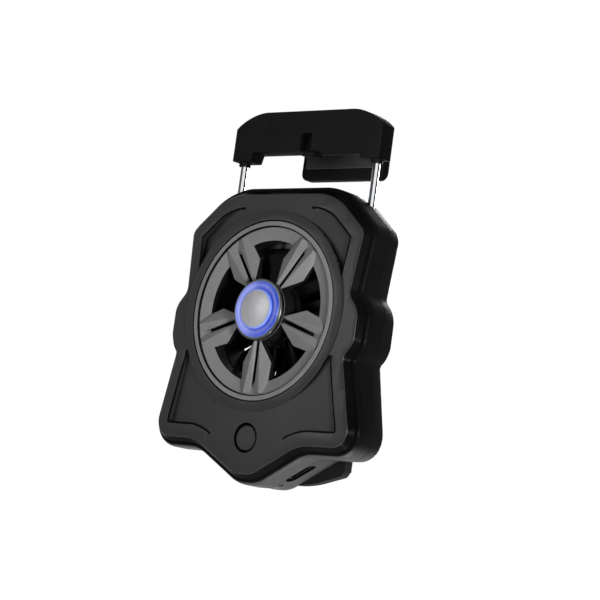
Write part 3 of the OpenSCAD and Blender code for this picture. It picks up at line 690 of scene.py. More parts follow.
class Blank:
    """A mesh in drawing millimetres that bmesh operators shape."""

    def __init__(self) -> None:
        """Starts empty."""
        self.bm = bmesh.new()

    def plate(self, outline: Outline, z: float, facing: int = 1) -> bmesh.types.BMFace:
        """Lays a flat face with rounded corners.

        Args:
            outline: The face's outline.
            z: Its height.
            facing: 1 to face the front, -1 to face the rear.

        Returns:
            The face.
        """
        verts = [self.bm.verts.new((c.x, c.y, z)) for c in outline.corners]
        self.bm.faces.new(verts if facing > 0 else verts[::-1])
        for i, v in enumerate(verts):
            bite = outline.bite(i)
            if bite > 0:
                bmesh.ops.bevel(self.bm, geom=[v], offset=bite, offset_type="ABSOLUTE", affect="VERTICES",
                                segments=outline.corners[i].steps, profile=0.5, material=-1)
        level = [f for f in self.bm.faces if abs(f.calc_center_median().z - z) < TOUCH]
        return max(level, key=lambda f: f.calc_area())

    def raised(self, face: bmesh.types.BMFace, by: Vector, zone: Zone = Zone.WALL) -> bmesh.types.BMFace:
        """Extrudes a face, and gives its new walls a zone.

        Args:
            face: The face to extrude.
            by: The shift.
            zone: Zone of the walls.

        Returns:
            The shifted face.
        """
        old = set(self.bm.faces)
        geom = bmesh.ops.extrude_face_region(self.bm, geom=[face])["geom"]
        verts = [g for g in geom if isinstance(g, bmesh.types.BMVert)]
        bmesh.ops.translate(self.bm, verts=verts, vec=by)
        cap = [g for g in geom if isinstance(g, bmesh.types.BMFace)][0]
        for f in self.bm.faces:
            if f not in old and f is not cap:
                f.material_index = zone.value
        return cap

    def stepped(self, face: bmesh.types.BMFace, inward: float, up: float, zone: Zone) -> bmesh.types.BMFace:
        """Insets a face and raises it, which leaves a sloping band.

        Args:
            face: The face to inset.
            inward: Width of the band in plan.
            up: Rise along the face's normal.
            zone: Zone of the band.

        Returns:
            The inset face.
        """
        made = bmesh.ops.inset_region(self.bm, faces=[face], thickness=inward, depth=up, use_even_offset=True,
                                      use_boundary=True)
        for f in made["faces"]:
            f.material_index = zone.value
        return face

    def rounded(self, face: bmesh.types.BMFace, reach: float, rise: float, steps: int,
                band_from: float = math.pi) -> bmesh.types.BMFace:
        """Rounds a face over in steps.

        Args:
            face: The face to round over.
            reach: Width of the rounding in plan.
            rise: Its rise.
            steps: Its steps.
            band_from: Angle in radians from which its steps belong to the bevel and not to the wall.

        Returns:
            The inset face.
        """
        turns = [math.pi / 2 * k / steps for k in range(steps + 1)]
        for a, b in zip(turns, turns[1:]):
            inward, up = reach * (math.cos(a) - math.cos(b)), rise * (math.sin(b) - math.sin(a))
            face = self.stepped(face, inward, up, Zone.WALL if b < band_from else Zone.BEVEL)
        return face

    def block(self, outline: Outline, z0: float, z1: float) -> "Blank":
        """Straight block over an outline."""
        self.raised(self.plate(outline, z0), UP * (z1 - z0))
        return self.closed()

    def box(self, low: tuple, high: tuple, soft: float = 0.0) -> "Blank":
        """Box between two corners.

        Args:
            low: Lowest corner.
            high: Highest corner.
            soft: Width of the bevel on its edges, or 0 for none.

        Returns:
            This blank.
        """
        size = [b - a for a, b in zip(low, high)]
        middle = [(a + b) / 2 for a, b in zip(low, high)]
        place = Matrix.Translation(middle) @ Matrix.Diagonal((*size, 1))
        made = bmesh.ops.create_cube(self.bm, size=1.0, matrix=place)["verts"]
        if soft > 0:
            self.softened(soft, 2, among=list(dict.fromkeys(e for v in made for e in v.link_edges)))
        return self

    def wedge(self, near: Point, far: Point, top: float, half: float = 5.0,
              cuts: int = 14) -> list[bmesh.types.BMVert]:
        """Starts an upright box with a gridded underside, whose height can then be set.

        Args:
            near: One corner in plan.
            far: The opposite corner.
            top: Height of its top.
            half: Half its height.
            cuts: Cuts along each edge of its underside.

        Returns:
            The vertices of its underside.
        """
        size = (abs(far[0] - near[0]), far[1] - near[1], 2 * half)
        middle = ((near[0] + far[0]) / 2, (near[1] + far[1]) / 2, top - half)
        place = Matrix.Translation(middle) @ Matrix.Diagonal((*size, 1))
        bmesh.ops.create_cube(self.bm, size=1.0, matrix=place)
        low = [e for e in self.bm.edges if all(v.co.z < middle[2] for v in e.verts)]
        bmesh.ops.subdivide_edges(self.bm, edges=low, cuts=cuts, use_grid_fill=True)
        return [v for v in self.bm.verts if v.co.z < middle[2]]

    def drum(self, radius: float, z0: float, z1: float, sides: int = 96, at: Point = (0, 0),
             axis: str = "Z") -> "Blank":
        """Closed cylinder.

        Args:
            radius: Its radius.
            z0: Its start along the axis.
            z1: Its end.
            sides: Its sides.
            at: The two other coordinates of its middle.
            axis: "Z" for one along the depth, "Y" for an upright one.

        Returns:
            This blank.
        """
        middle = (z0 + z1) / 2
        turn = Matrix.Identity(4) if axis == "Z" else Matrix.Rotation(-math.pi / 2, 4, "X")
        place = Matrix.Translation((at[0], at[1], middle) if axis == "Z" else (at[0], middle, at[1]))
        bmesh.ops.create_cone(self.bm, cap_ends=True, segments=sides, radius1=radius, radius2=radius,
                              depth=z1 - z0, matrix=place @ turn)
        return self

    def lathe(self, profile: list[Point], sides: int = 128, loop: bool = True, at: Point = (0, 0)) -> "Blank":
        """Spins a profile of radius and height round the axis.

        Args:
            profile: Points of radius and height.
            sides: Steps of the spin.
            loop: Whether the profile closes on itself.
            at: Place of the axis.

        Returns:
            This blank.
        """
        verts = [self.bm.verts.new((at[0] + r, at[1], z)) for r, z in profile]
        edges = [self.bm.edges.new(pair) for pair in zip(verts, verts[1:])]
        if loop:
            edges.append(self.bm.edges.new((verts[-1], verts[0])))
        bmesh.ops.spin(self.bm, geom=verts + edges, cent=(at[0], at[1], 0), axis=UP, dvec=(0, 0, 0),
                       angle=2 * math.pi, steps=sides, use_merge=True, use_duplicate=False)
        return self.closed()

    def sector(self, r0: float, r1: float, z0: float, z1: float, start: float, sweep: float, steps: int) -> "Blank":
        """Part of a ring with square ends.

        Args:
            r0: Inner radius.
            r1: Outer radius.
            z0: Its rear.
            z1: Its front.
            start: Angle of its first end, in degrees.
            sweep: Its angle.
            steps: Steps of the spin.

        Returns:
            This blank.
        """
        turn = Matrix.Rotation(math.radians(start), 4, "Z")
        verts = [self.bm.verts.new(turn @ Vector((r, 0, z))) for r, z in ((r0, z0), (r1, z0), (r1, z1), (r0, z1))]
        face = self.bm.faces.new(verts)
        bmesh.ops.spin(self.bm, geom=[face, *face.edges, *verts], cent=(0, 0, 0), axis=UP, dvec=(0, 0, 0),
                       angle=math.radians(sweep), steps=steps, use_merge=False, use_duplicate=False)
        return self.closed()

    def softened(self, width: float, segments: int = 2, angle: float = 0.5, among: list | None = None) -> "Blank":
        """Bevels the sharp edges.

        Args:
            width: Width of the bevel.
            segments: Its segments.
            angle: Least angle between faces, in radians, that counts as sharp.
            among: Edges to choose from, or all.

        Returns:
            This blank.
        """
        self.bm.normal_update()
        edges = [e for e in (among or self.bm.edges) if e.is_manifold and e.calc_face_angle(0) > angle]
        bmesh.ops.bevel(self.bm, geom=edges, offset=width, offset_type="OFFSET", affect="EDGES", segments=segments,
                        profile=0.5, material=-1, clamp_overlap=True)
        return self

    def chamfered(self, z: float, width: float) -> None:
        """Breaks the edges that lie at one height.

        Args:
            z: Height of the edges.
            width: Width of the chamfer.
        """
        edges = [e for e in self.bm.edges if all(abs(v.co.z - z) < TOUCH for v in e.verts)]
        bmesh.ops.bevel(self.bm, geom=edges, offset=width, offset_type="OFFSET", affect="EDGES", segments=1,
                        profile=0.5, material=-1)

    def take(self, other: "Blank") -> "Blank":
        """Adds another blank's mesh to this one and frees it."""
        scratch = bpy.data.meshes.new("scratch")
        other.into(scratch)
        self.bm.from_mesh(scratch)
        bpy.data.meshes.remove(scratch)
        return self

    def closed(self) -> "Blank":
        """Merges doubles, drops faces with no area and turns the rest outwards.

        Returns:
            This blank.
        """
        bmesh.ops.remove_doubles(self.bm, verts=self.bm.verts, dist=TOUCH)
        bmesh.ops.dissolve_degenerate(self.bm, dist=TOUCH, edges=self.bm.edges)
        bmesh.ops.recalc_face_normals(self.bm, faces=self.bm.faces)
        return self

    def ordered(self) -> "Blank":
        """Numbers vertices, edges and faces by where they lie, so that each run gives the same mesh.

        Returns:
            This blank.
        """
        for parts, key in ((self.bm.verts, lambda v: v.co.to_tuple(5)),
                           (self.bm.edges, lambda e: sorted(v.index for v in e.verts)),
                           (self.bm.faces, lambda f: sorted(v.index for v in f.verts))):
            rank = {part: k for k, part in enumerate(sorted(parts, key=key))}
            parts.sort(key=rank.__getitem__)
            parts.index_update()
        return self

    def into(self, mesh: bpy.types.Mesh) -> None:
        """Writes the blank to a mesh and frees it."""
        self.ordered().bm.to_mesh(mesh)
        self.bm.free()

    def gridded(self, face: bmesh.types.BMFace, pitch: float) -> None:
        """Cuts a flat face into cells, so that it can take a crown.

        Args:
            face: The face.
            pitch: Size of a cell.
        """
        xs, ys = zip(*((v.co.x, v.co.y) for v in face.verts))
        cuts = [(Vector((1, 0, 0)), min(xs), max(xs)), (Vector((0, 1, 0)), min(ys), max(ys))]
        zone, z = face.material_index, face.verts[0].co.z
        for normal, low, high in cuts:
            for k in range(1, int((high - low) / pitch) + 1):
                flat = [f for f in self.bm.faces
                        if f.material_index == zone and abs(f.calc_center_median().z - z) < 10 * TOUCH]
                geom = list(dict.fromkeys(g for f in flat for g in (*f.verts, *f.edges))) + flat
                bmesh.ops.bisect_plane(self.bm, geom=geom, dist=TOUCH, plane_co=normal * (low + k * pitch),
                                       plane_no=normal)

    def solid(self, name: str) -> bpy.types.Object:
        """Turns the blank into an object, still in millimetres.

        Args:
            name: Name of the object.

        Returns:
            The object, in the scene.
        """
        mesh = bpy.data.meshes.new(name)
        self.into(mesh)
        made = bpy.data.objects.new(name, mesh)
        bpy.context.scene.collection.objects.link(made)
        return made


def carve(piece: bpy.types.Object, tool: bpy.types.Object, how: Carve) -> bpy.types.Object:
    """Cuts, joins or crosses a piece with another solid, which is then deleted.

    Args:
        piece: The solid that stays.
        tool: The solid that changes it.
        how: The operation.

    Returns:
        The changed piece.
    """
    step = piece.modifiers.new("carve", "BOOLEAN")
    step.operation, step.solver, step.object = how.value, "EXACT", tool
    step.material_mode = "TRANSFER" if tool.data.materials else "INDEX"
    mesh = bpy.data.meshes.new_from_object(piece.evaluated_get(bpy.context.evaluated_depsgraph_get()))
    piece.modifiers.clear()
    old, piece.data = piece.data, mesh
    bpy.data.meshes.remove(old)
    bpy.data.objects.remove(tool)
    return piece


@dataclass
class Workshop:
    """Finishes pieces and hands them to the frame."""

    palette: Palette
    made: list[str] = field(default_factory=list)

    def finish(self, piece: bpy.types.Object, slot: str, stands_for: str, finishes: list[str],
               smooth: float) -> None:
        """Turns a piece into the frame's metres and dresses it.

        Args:
            piece: The object in millimetres.
            slot: Material slot of the record; not used.
            stands_for: CAD node that it replaces.
            finishes: Names of its materials, in the order of its material numbers.
            smooth: Angle in degrees below which edges are shaded smooth.
        """
        blank = Blank()
        blank.bm.from_mesh(piece.data)
        blank.closed().into(piece.data)
        piece.data.transform(TO_ROW)
        for finish in finishes:
            piece.data.materials.append(self.palette[finish])
        piece.data.shade_smooth()
        piece.data.set_sharp_from_angle(angle=math.radians(smooth))
        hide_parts(stands_for)
        self.made.append(piece.name)
        LOG.info("%s stands for %s, %d faces", piece.name, stands_for, len(piece.data.polygons))

    def place(self, piece: bpy.types.Object, body: str, slot: str, stands_for: str, finishes: list[str],
              smooth: float = 35) -> None:
        """Finishes a piece and lets it ride on a body.

        Args:
            piece: The object in millimetres.
            body: CAD body that it moves with.
            slot: Material slot of the record; passed on, not used.
            stands_for: CAD node that it replaces.
            finishes: Names of its materials, in the order of its material numbers.
            smooth: Angle in degrees below which edges are shaded smooth.
        """
        self.finish(piece, slot, stands_for, finishes, smooth)
        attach(piece, body)

    def span(self, piece: bpy.types.Object, ends: dict[str, Vector], slot: str, stands_for: str,
             finish: str) -> None:
        """Finishes a piece and bakes its placement; it is not tied to the two bodies.

        Args:
            piece: The object in millimetres.
            ends: Its end on each of the two bodies, in millimetres; turned into metres but not used further.
            slot: Material slot of the record; passed on, not used.
            stands_for: CAD node that it replaces.
            finish: Name of its material.
        """
        self.finish(piece, slot, stands_for, [finish], 40)
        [TO_ROW @ end for end in ends.values()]
        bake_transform(piece)

    def dress(self, node: bpy.types.Object, finish: str) -> None:
        """Gives a CAD node that stays one of the finishes."""
        if node.material_slots:
            for entry in node.material_slots:
                entry.link = "OBJECT"
                entry.material = self.palette[finish]
        else:
            node.data.materials.append(self.palette[finish])
        LOG.info("%s keeps its CAD mesh, in %s", node.name, finish)


# Sub-assemblies


@dataclass(frozen=True)
class Panel:
    """A sunk panel: its deepest corner, two points where its floor meets the face, and its reach in height."""

    corner: Point
    ends: tuple[Point, Point]
    span: Point


@dataclass
class Housing:
    """Front and rear covers that share one outline."""

    outline: Outline = field(default_factory=lambda: Outline.mirrored([
        Corner(17.5, 29.7, 16, 12), Corner(28.2, 20.3, 2.5, 8), Corner(26.7, 4.4, 4, 8), Corner(30, 0.8, 5, 8),
        Corner(30, -7.6, 5, 8), Corner(27.3, -10.6, 3.4, 8), Corner(32.2, -32.5, 4, 12),
        Corner(17, -32.7, 13, 10), Corner(2.8, -40.7, 8, 10)]))
    skirt: float = 2.4
    seam_z: float = 5.2
    face_z: float = 14.4
    back_z: float = 0.8
    floor_z: float = 2.0
    roof_z: float = 10.2
    bevel_w: float = 1.1
    bevel_d: float = 1.6
    bevel_shares: tuple[float, ...] = (0.12, 0.7, 0.1)
    round_d: float = 2.2
    rounds: int = 7
    band_from: float = 1.0
    rear_taper: Point = (0.3, 3.2)
    rear_round: Point = (1.0, 0.9)
    rear_rounds: int = 6
    crown_y: float = -6.0
    crown_r: float = 450.0
    cavity: float = 0.8
    seam: float = 0.14
    border: float = 3.8
    panels: tuple[Panel, ...] = (Panel((24.4, 16.3), ((11, 26.5), (11, 22.4)), (5, 35)),
                                 Panel((28.4, -26.5), ((12, -21.5), (12, -31)), (-46, -10.5)))
    panel_x: Point = (8, 40)
    panel_d: float = 1.3
    line: tuple[float, float] = (0.6, 0.16)
    collar_r: float = 25.4
    bore_r: float = 22.95
    button: tuple[float, float, float] = (0.0, -31.8, 3.75)
    shroud: tuple[float, float] = (17.9, 18.9)
    guard_r: float = 9.4
    vane_count: int = 24
    vane_t: float = 0.9
    screws: tuple[Point, ...] = ((14, 25.2), (-14, 25.2), (27.2, -27.5), (-27.2, -27.5))
    boss_r: float = 2.9
    well_r: float = 2.1
    screw_r: float = 1.15
    rods: tuple[Point, ...] = ((-22, 3.9), (22, 3.9))
    rod_r: float = 1.1
    hub_pad_r: float = 7.55
    pad_ring: Point = (20.55, 23.65)
    pad_arc: Point = (19.87, 50.26)
    mount: tuple[Point, ...] = ((2.05, -0.1), (3.2, -0.1), (3.2, 0.9), (3.1, 1), (2.05, 1))
    stakes: tuple[Point, ...] = ((-4.8, -38.3), (4.8, -38.3))
    stake: tuple[Point, ...] = ((0, -4.6), (1.3, -4.6), (1.7, -4.3), (1.7, -3.85), (1.1, -3.85), (1.1, 1.3), (0, 1.3))
    port_half: Point = (4.5, 1.6)
    port_along: float = 8.0
    port_z: float = 3.6

    def sag(self, x: float, y: float) -> float:
        """Drop of the crowned face at a point."""
        return (x * x + (y - self.crown_y) ** 2) / (2 * self.crown_r)

    def front_block(self) -> bpy.types.Object:
        """Outer form of the front cover: wall, rounding, bevel and crowned face.

        Returns:
            The solid.
        """
        blank = Blank()
        lip_z = self.face_z - self.bevel_d - self.round_d
        face = blank.raised(blank.plate(self.outline.moved(self.skirt), self.seam_z), UP * (lip_z - self.seam_z))
        blank.chamfered(self.seam_z, self.seam)
        face = blank.rounded(face, self.skirt - self.bevel_w, self.round_d, self.rounds, self.band_from)
        for share in self.bevel_shares:
            face = blank.stepped(face, self.bevel_w * share, self.bevel_d * share, Zone.BEVEL)
        face = blank.stepped(face, self.bevel_w * 0.08, self.bevel_d * 0.06, Zone.FACE)
        face = blank.stepped(face, 0.14, self.bevel_d * 0.02, Zone.FACE)
        face.material_index = Zone.FACE.value
        blank.gridded(face, 2.4)
        for v in blank.bm.verts:
            share = min(1.0, max(0.0, (v.co.z - self.seam_z) / (lip_z - self.seam_z)))
            v.co.z -= share * self.sag(v.co.x, v.co.y)
        return blank.closed().solid("front_shell")

    def floor_tool(self, deeper: float) -> bpy.types.Object:
        """Space over the panels' tilted floors.

        Args:
            deeper: Further depth of the floors at their outer corners.

        Returns:
            The solid.
        """
        floors = Blank()
        for panel in self.panels:
            (x, y), ends = panel.corner, panel.ends
            low = self.face_z - self.sag(x, y) - self.panel_d - deeper
            tops = [self.face_z - self.sag(*end) for end in ends]
            fall = (tops[0] - tops[1]) / (ends[0][1] - ends[1][1])
            rise = (tops[0] - low - fall * (ends[0][1] - y)) / (x - ends[0][0])
            for side in (1, -1):
                one = Blank()
                near, far = ((side * across, up) for across, up in zip(self.panel_x, panel.span))
                for v in one.wedge(near, far, self.face_z + 4):
                    v.co.z = low + rise * (x - abs(v.co.x)) + fall * (v.co.y - y)
                floors.take(one)
        return floors.closed().solid("floor_tool")

    def collar_tool(self) -> bpy.types.Object:
        """Drum over the collar round the grille, which the panels leave standing."""
        return Blank().drum(self.collar_r, self.roof_z - 1, self.face_z + 4, 160).solid("collar_tool")

    def panel_tool(self, palette: Palette) -> bpy.types.Object:
        """Cutter of the four sunk panels, whose floors tilt so that they fade towards the middle.

        Args:
            palette: The finishes, for the panels' floors and their walls at the collar, which are painted black as
                shade.

        Returns:
            The solid.
        """
        sunk = Blank().block(self.outline.moved(0.01 - self.border), self.roof_z, self.face_z + 2)
        tool = sunk.solid("panel_tool")
        tool.data.materials.append(palette["satin_face"])
        collar = self.collar_tool()
        # The panels' walls at the collar are painted black as shade.
        collar.data.materials.append(palette["gloss_bevel"])
        carve(tool, collar, Carve.CUT)
        wedges = self.floor_tool(0.0)
        wedges.data.materials.append(palette["satin_face"])
        return carve(tool, wedges, Carve.KEEP)

    def line_tool(self, palette: Palette) -> bpy.types.Object:
        """Cutter of the fine line along the panels' outer edges, which follows the crown; its floor is painted black as
        a shadow line.

        Args:
            palette: The finishes, for the line.

        Returns:
            The solid.
        """
        band = Blank()
        loops = []
        for out, up in ((-0.06, -self.line[1]), (self.line[0], 0.02), (-0.06, 0.6)):
            start = set(band.bm.edges)
            band.bm.faces.remove(band.plate(self.outline.moved(out - self.border), self.face_z + up))
            loops.append([e for e in band.bm.edges if e not in start])
        for a, b in zip(loops, loops[1:] + loops[:1]):
            bmesh.ops.bridge_loops(band.bm, edges=a + b)
        for v in band.bm.verts:
            v.co.z -= self.sag(v.co.x, v.co.y)
        tool = band.closed().solid("line_tool")
        # The line's floor is painted black as a shadow line.
        tool.data.materials.append(palette["gloss_bevel"])
        carve(tool, self.collar_tool(), Carve.CUT)
        return carve(tool, self.floor_tool(self.line[1] / 2), Carve.KEEP)

    def build_front(self, shop: Workshop) -> None:
        """Makes the front cover."""
        piece = self.front_block()
        # Walls take a blacker copy and the bevel band a near-black copy of the face plastic: painted shade and painted
        # dark reflection.
        for zone in ("shell_black", "gloss_bevel", "satin_face"):
            piece.data.materials.append(shop.palette[zone])
        collar = Blank().drum(self.collar_r, self.roof_z, self.face_z - 0.2, 160).softened(0.18, 2).solid("collar")
        collar.data.materials.append(shop.palette["satin_face"])
        carve(piece, collar, Carve.JOIN)
        inside = Blank().block(self.outline.moved(self.cavity), self.seam_z - 2, self.roof_z).solid("cavity_tool")
        inside.data.materials.append(shop.palette["shell_black"])
        carve(piece, inside, Carve.CUT)
        carve(piece, self.panel_tool(shop.palette), Carve.CUT)
        carve(piece, self.line_tool(shop.palette), Carve.CUT)
        for radius, at in ((self.bore_r, (0.0, 0.0)), (self.button[2], self.button[:2])):
            bore = Blank().drum(radius, self.seam_z - 1, self.face_z + 3, 160, at).solid("bore_tool")
            # Bore walls are painted black as shade.
            bore.data.materials.append(shop.palette["gloss_bevel"])
            carve(piece, bore, Carve.CUT)
        shop.place(piece, "housing", "face_plastic", "front_cover", [], 28)

    def vanes(self) -> bpy.types.Object:
        """Guide vanes across the air opening, slanted against the blades.

        Returns:
            The solid.
        """
        rows = Blank()
        z0, z1 = self.back_z + 0.15, self.floor_z + 0.3
        half, middle = self.vane_t / 2 / math.cos(math.pi / 4), (z0 + z1) / 2
        slant = Matrix(((1, 0, 0, 0), (0, 1, -1, middle), (0, 0, 1, 0), (0, 0, 0, 1)))
        for k in range(self.vane_count):
            one = Blank().box((self.guard_r - 0.4, -half, z0), (self.shroud[0] + 0.3, half, z1), 0.14)
            one.bm.transform(Matrix.Rotation(2 * math.pi * (k + 0.5) / self.vane_count, 4, "Z") @ slant)
            rows.take(one)
        return rows.closed().solid("vanes")

    def build_rear(self, shop: Workshop) -> None:
        """Makes the rear cover with its guard, shroud, screw wells and port."""
        blank = Blank()
        face = blank.raised(blank.plate(self.outline.moved(self.skirt), self.seam_z, -1), UP * -0.3)
        blank.chamfered(self.seam_z, self.seam)
        face = blank.stepped(face, *self.rear_taper, Zone.WALL)
        blank.rounded(face, *self.rear_round, self.rear_rounds)
        piece = blank.closed().solid("rear_shell")
        inside = Blank().block(self.outline.moved(self.cavity - 0.3), self.floor_z, self.seam_z + 1)
        carve(piece, inside.solid("cavity_tool"), Carve.CUT)
        opening = [(self.guard_r, self.back_z - 1), (self.shroud[0], self.back_z - 1),
                   (self.shroud[0], self.floor_z + 1), (self.guard_r, self.floor_z + 1)]
        carve(piece, Blank().lathe(opening, 128).solid("opening_tool"), Carve.CUT)
        carve(piece, self.vanes(), Carve.JOIN)
        tube = [(self.shroud[0], self.back_z + 0.2), (self.shroud[1], self.back_z + 0.2),
                (self.shroud[1], self.roof_z - 1.4), (self.shroud[1] - 0.2, self.roof_z - 1.2),
                (self.shroud[0] + 0.2, self.roof_z - 1.2), (self.shroud[0], self.roof_z - 1.4)]
        carve(piece, Blank().lathe(tube, 128).solid("shroud"), Carve.JOIN)
        for x, y in self.screws:
            boss = Blank().drum(self.boss_r, self.back_z + 0.4, self.seam_z, 48, (x, y))
            carve(piece, boss.solid("boss"), Carve.JOIN)
        wells = Blank()
        for x, y in self.screws:
            wells.drum(self.well_r, self.back_z - 1, self.back_z + 1.4, 48, (x, y))
        carve(piece, wells.solid("well_tool"), Carve.CUT)
        bores = Blank()
        for x, y in self.screws:
            bores.drum(self.screw_r, self.back_z, self.seam_z + 1, 32, (x, y))
        for rod in self.rods:
            bores.drum(self.rod_r, 20, 34, 32, rod, "Y")
        carve(piece, bores.solid("bore_tool"), Carve.CUT)
        carve(piece, self.port_tool(), Carve.CUT)
        pads, (start, sweep) = Blank().drum(self.hub_pad_r, -1, self.back_z + 0.3, 96), self.pad_arc
        for k in range(4):
            pads.sector(*self.pad_ring, -1, self.back_z + 0.3, start + 90 * k, sweep, 24)
        carve(piece, pads.solid("pad_tool"), Carve.CUT)
        mount = Blank().lathe([(r, self.floor_z + up) for r, up in self.mount], 64)
        carve(piece, mount.solid("mount"), Carve.JOIN)
        stakes = Blank()
        for at in self.stakes:
            stakes.lathe(list(self.stake), 40, False, at)
        carve(piece, stakes.solid("stakes"), Carve.JOIN)
        # The rear cover takes the blacker wall copy: painted shade.
        shop.place(piece, "housing", "shell_plastic", "rear_cover", ["shell_black"], 28)

    def port_tool(self) -> bpy.types.Object:
        """Cutter of the charging port and the charge light's hole, square to the flank of the nose.

        Returns:
            The solid.
        """
        middle = len(self.outline.corners) // 2
        low, high = (Vector((c.x, c.y)) for c in self.outline.corners[middle:middle + 2])
        along = (high - low).normalized()
        out = Vector((along.y, -along.x))
        tool = Blank()
        w, h = self.port_half
        slot = Outline(tuple(Corner(x, y, 1.5, 10) for x, y in ((-w, h), (-w, -h), (w, -h), (w, h))))
        tool.block(slot, -8, 8)
        tool.drum(0.7, -5, 5, 32, (-6.8, 0))
        at = low + along * self.port_along
        turn = Matrix(((along.x, 0, out.x, at.x), (along.y, 0, out.y, at.y), (0, 1, 0, self.port_z), (0, 0, 0, 1)))
        tool.bm.transform(turn)
        return tool.closed().solid("port_tool")


@dataclass
class Grille:
    """Ring with a sloped inner band, five split spokes and the hub cup."""

    collar_z: float = 14.2
    ring: tuple[Point, ...] = ((17.9, 9.2), (24.2, 9.2), (24.2, 10.2), (22.6, 10.2), (22.6, 14.2), (21.45, 14.2),
                               (21.45, 13.3), (21.15, 13.3), (21.15, 13.65), (17.9, 13.0))
    cup: tuple[Point, ...] = ((0, 10.8), (7.75, 10.8), (7.75, 14.5), (6.95, 14.5), (6.95, 12.0), (0, 12.0))
    spokes: int = 5
    plan: tuple[Point, ...] = ((7.3, 0.425), (21.0, 0.425), (20.4, 4.3), (13.0, 4.65), (7.3, 1.25))
    ridge: tuple[Point, ...] = ((7.3, 0.84), (20.7, 2.54))
    depth: float = 2.2
    eave: float = 1.1
    slot_eave: float = 0.8
    ridge_fall: float = 0.15
    painted_shade_facing: float = 0.35
    groove: Point = (21.1, 21.5)

    def fin(self, blank: Blank) -> None:
        """Adds one half of a spoke: the hull of its foot, its eaves and its ridge.

        Args:
            blank: The blank to add to.
        """
        points = [(x, y, self.collar_z - self.depth) for x, y in self.plan]
        points += [(x, y, self.collar_z - (self.slot_eave if y < 0.5 else self.eave)) for x, y in self.plan]
        points += [(x, y, self.collar_z - self.ridge_fall * k) for k, (x, y) in enumerate(self.ridge)]
        bmesh.ops.convex_hull(blank.bm, input=[blank.bm.verts.new(point) for point in points])
        bmesh.ops.dissolve_limit(blank.bm, angle_limit=0.01, verts=blank.bm.verts, edges=blank.bm.edges)

    def build(self, shop: Workshop) -> None:
        """Makes the grille."""
        piece = Blank().lathe(list(self.ring), 160).softened(0.1, 2).solid("grille")
        carve(piece, Blank().lathe(list(self.cup), 96, False).softened(0.1, 2).solid("cup"), Carve.JOIN)
        spokes = Blank()
        for k in range(self.spokes):
            for side in (1, -1):
                half = Blank()
                self.fin(half)
                half.bm.transform(Matrix.Rotation(math.radians(270 + 360 * k / self.spokes), 4, "Z")
                                  @ Matrix.Diagonal((1, side, 1, 1)))
                spokes.take(half.closed().softened(0.09, 2, 0.25))
        carve(piece, spokes.solid("spokes"), Carve.JOIN)
        # Faces not facing the front, and the groove, take the black copy of the grille plastic: painted shade.
        for face in piece.data.polygons:
            grooved = self.groove[0] < face.center.xy.length < self.groove[1]
            face.material_index = int(grooved or face.normal.z < self.painted_shade_facing)
        shop.place(piece, "housing", "grille_plastic", "front_grille", ["grille_grey", "grille_black"], 8)


@dataclass
class HubLight:
    """Metal rim, lit ring and frosted cap at the middle of the grille."""

    rim: tuple[Point, ...] = ((7.15, 14.5), (7.75, 14.5), (7.75, 15.5), (7.6, 15.72), (7.45, 15.8), (7.15, 15.8))
    ring: tuple[Point, ...] = ((5.05, 13.6), (6.9, 13.6), (6.9, 14.5), (7.1, 14.5), (7.1, 15.85), (6.98, 16.08),
                               (6.75, 16.2), (5.35, 16.2), (5.12, 16.08), (5.05, 15.9))
    cap_foot: tuple[Point, ...] = ((0, 12.8), (3.2, 12.8), (3.2, 13.6))
    cap_r: float = 5.0
    cap_rim_z: float = 16.55
    dome: float = 30.0
    dome_at: tuple[float, ...] = (4.93, 4.7, 4, 3, 2, 1, 0)
    edge_drop: float = 0.03

    def build(self, shop: Workshop) -> None:
        """Makes the three pieces."""
        rim = Blank().lathe(list(self.rim), 128).solid("hub_rim")
        shop.place(rim, "housing", "bright_metal", "hub_bezel", ["hub_metal"])
        ring = Blank().lathe(list(self.ring), 128).solid("glow_ring")
        shop.place(ring, "housing", "light_plastic", "light_ring", ["ring_light"])
        base = self.cap_rim_z - math.sqrt(self.dome ** 2 - self.cap_r ** 2)
        shape = [*self.cap_foot, (self.cap_r, self.cap_foot[-1][1]), (self.cap_r, self.cap_rim_z - 0.15)]
        for k, r in enumerate(self.dome_at):
            shape.append((r, base + math.sqrt(self.dome ** 2 - r * r) - (0 if k else self.edge_drop)))
        cap = Blank().lathe(shape, 96, False).solid("frosted_cap")
        shop.place(cap, "housing", "cap_plastic", "hub_cap", ["cap_frost"])


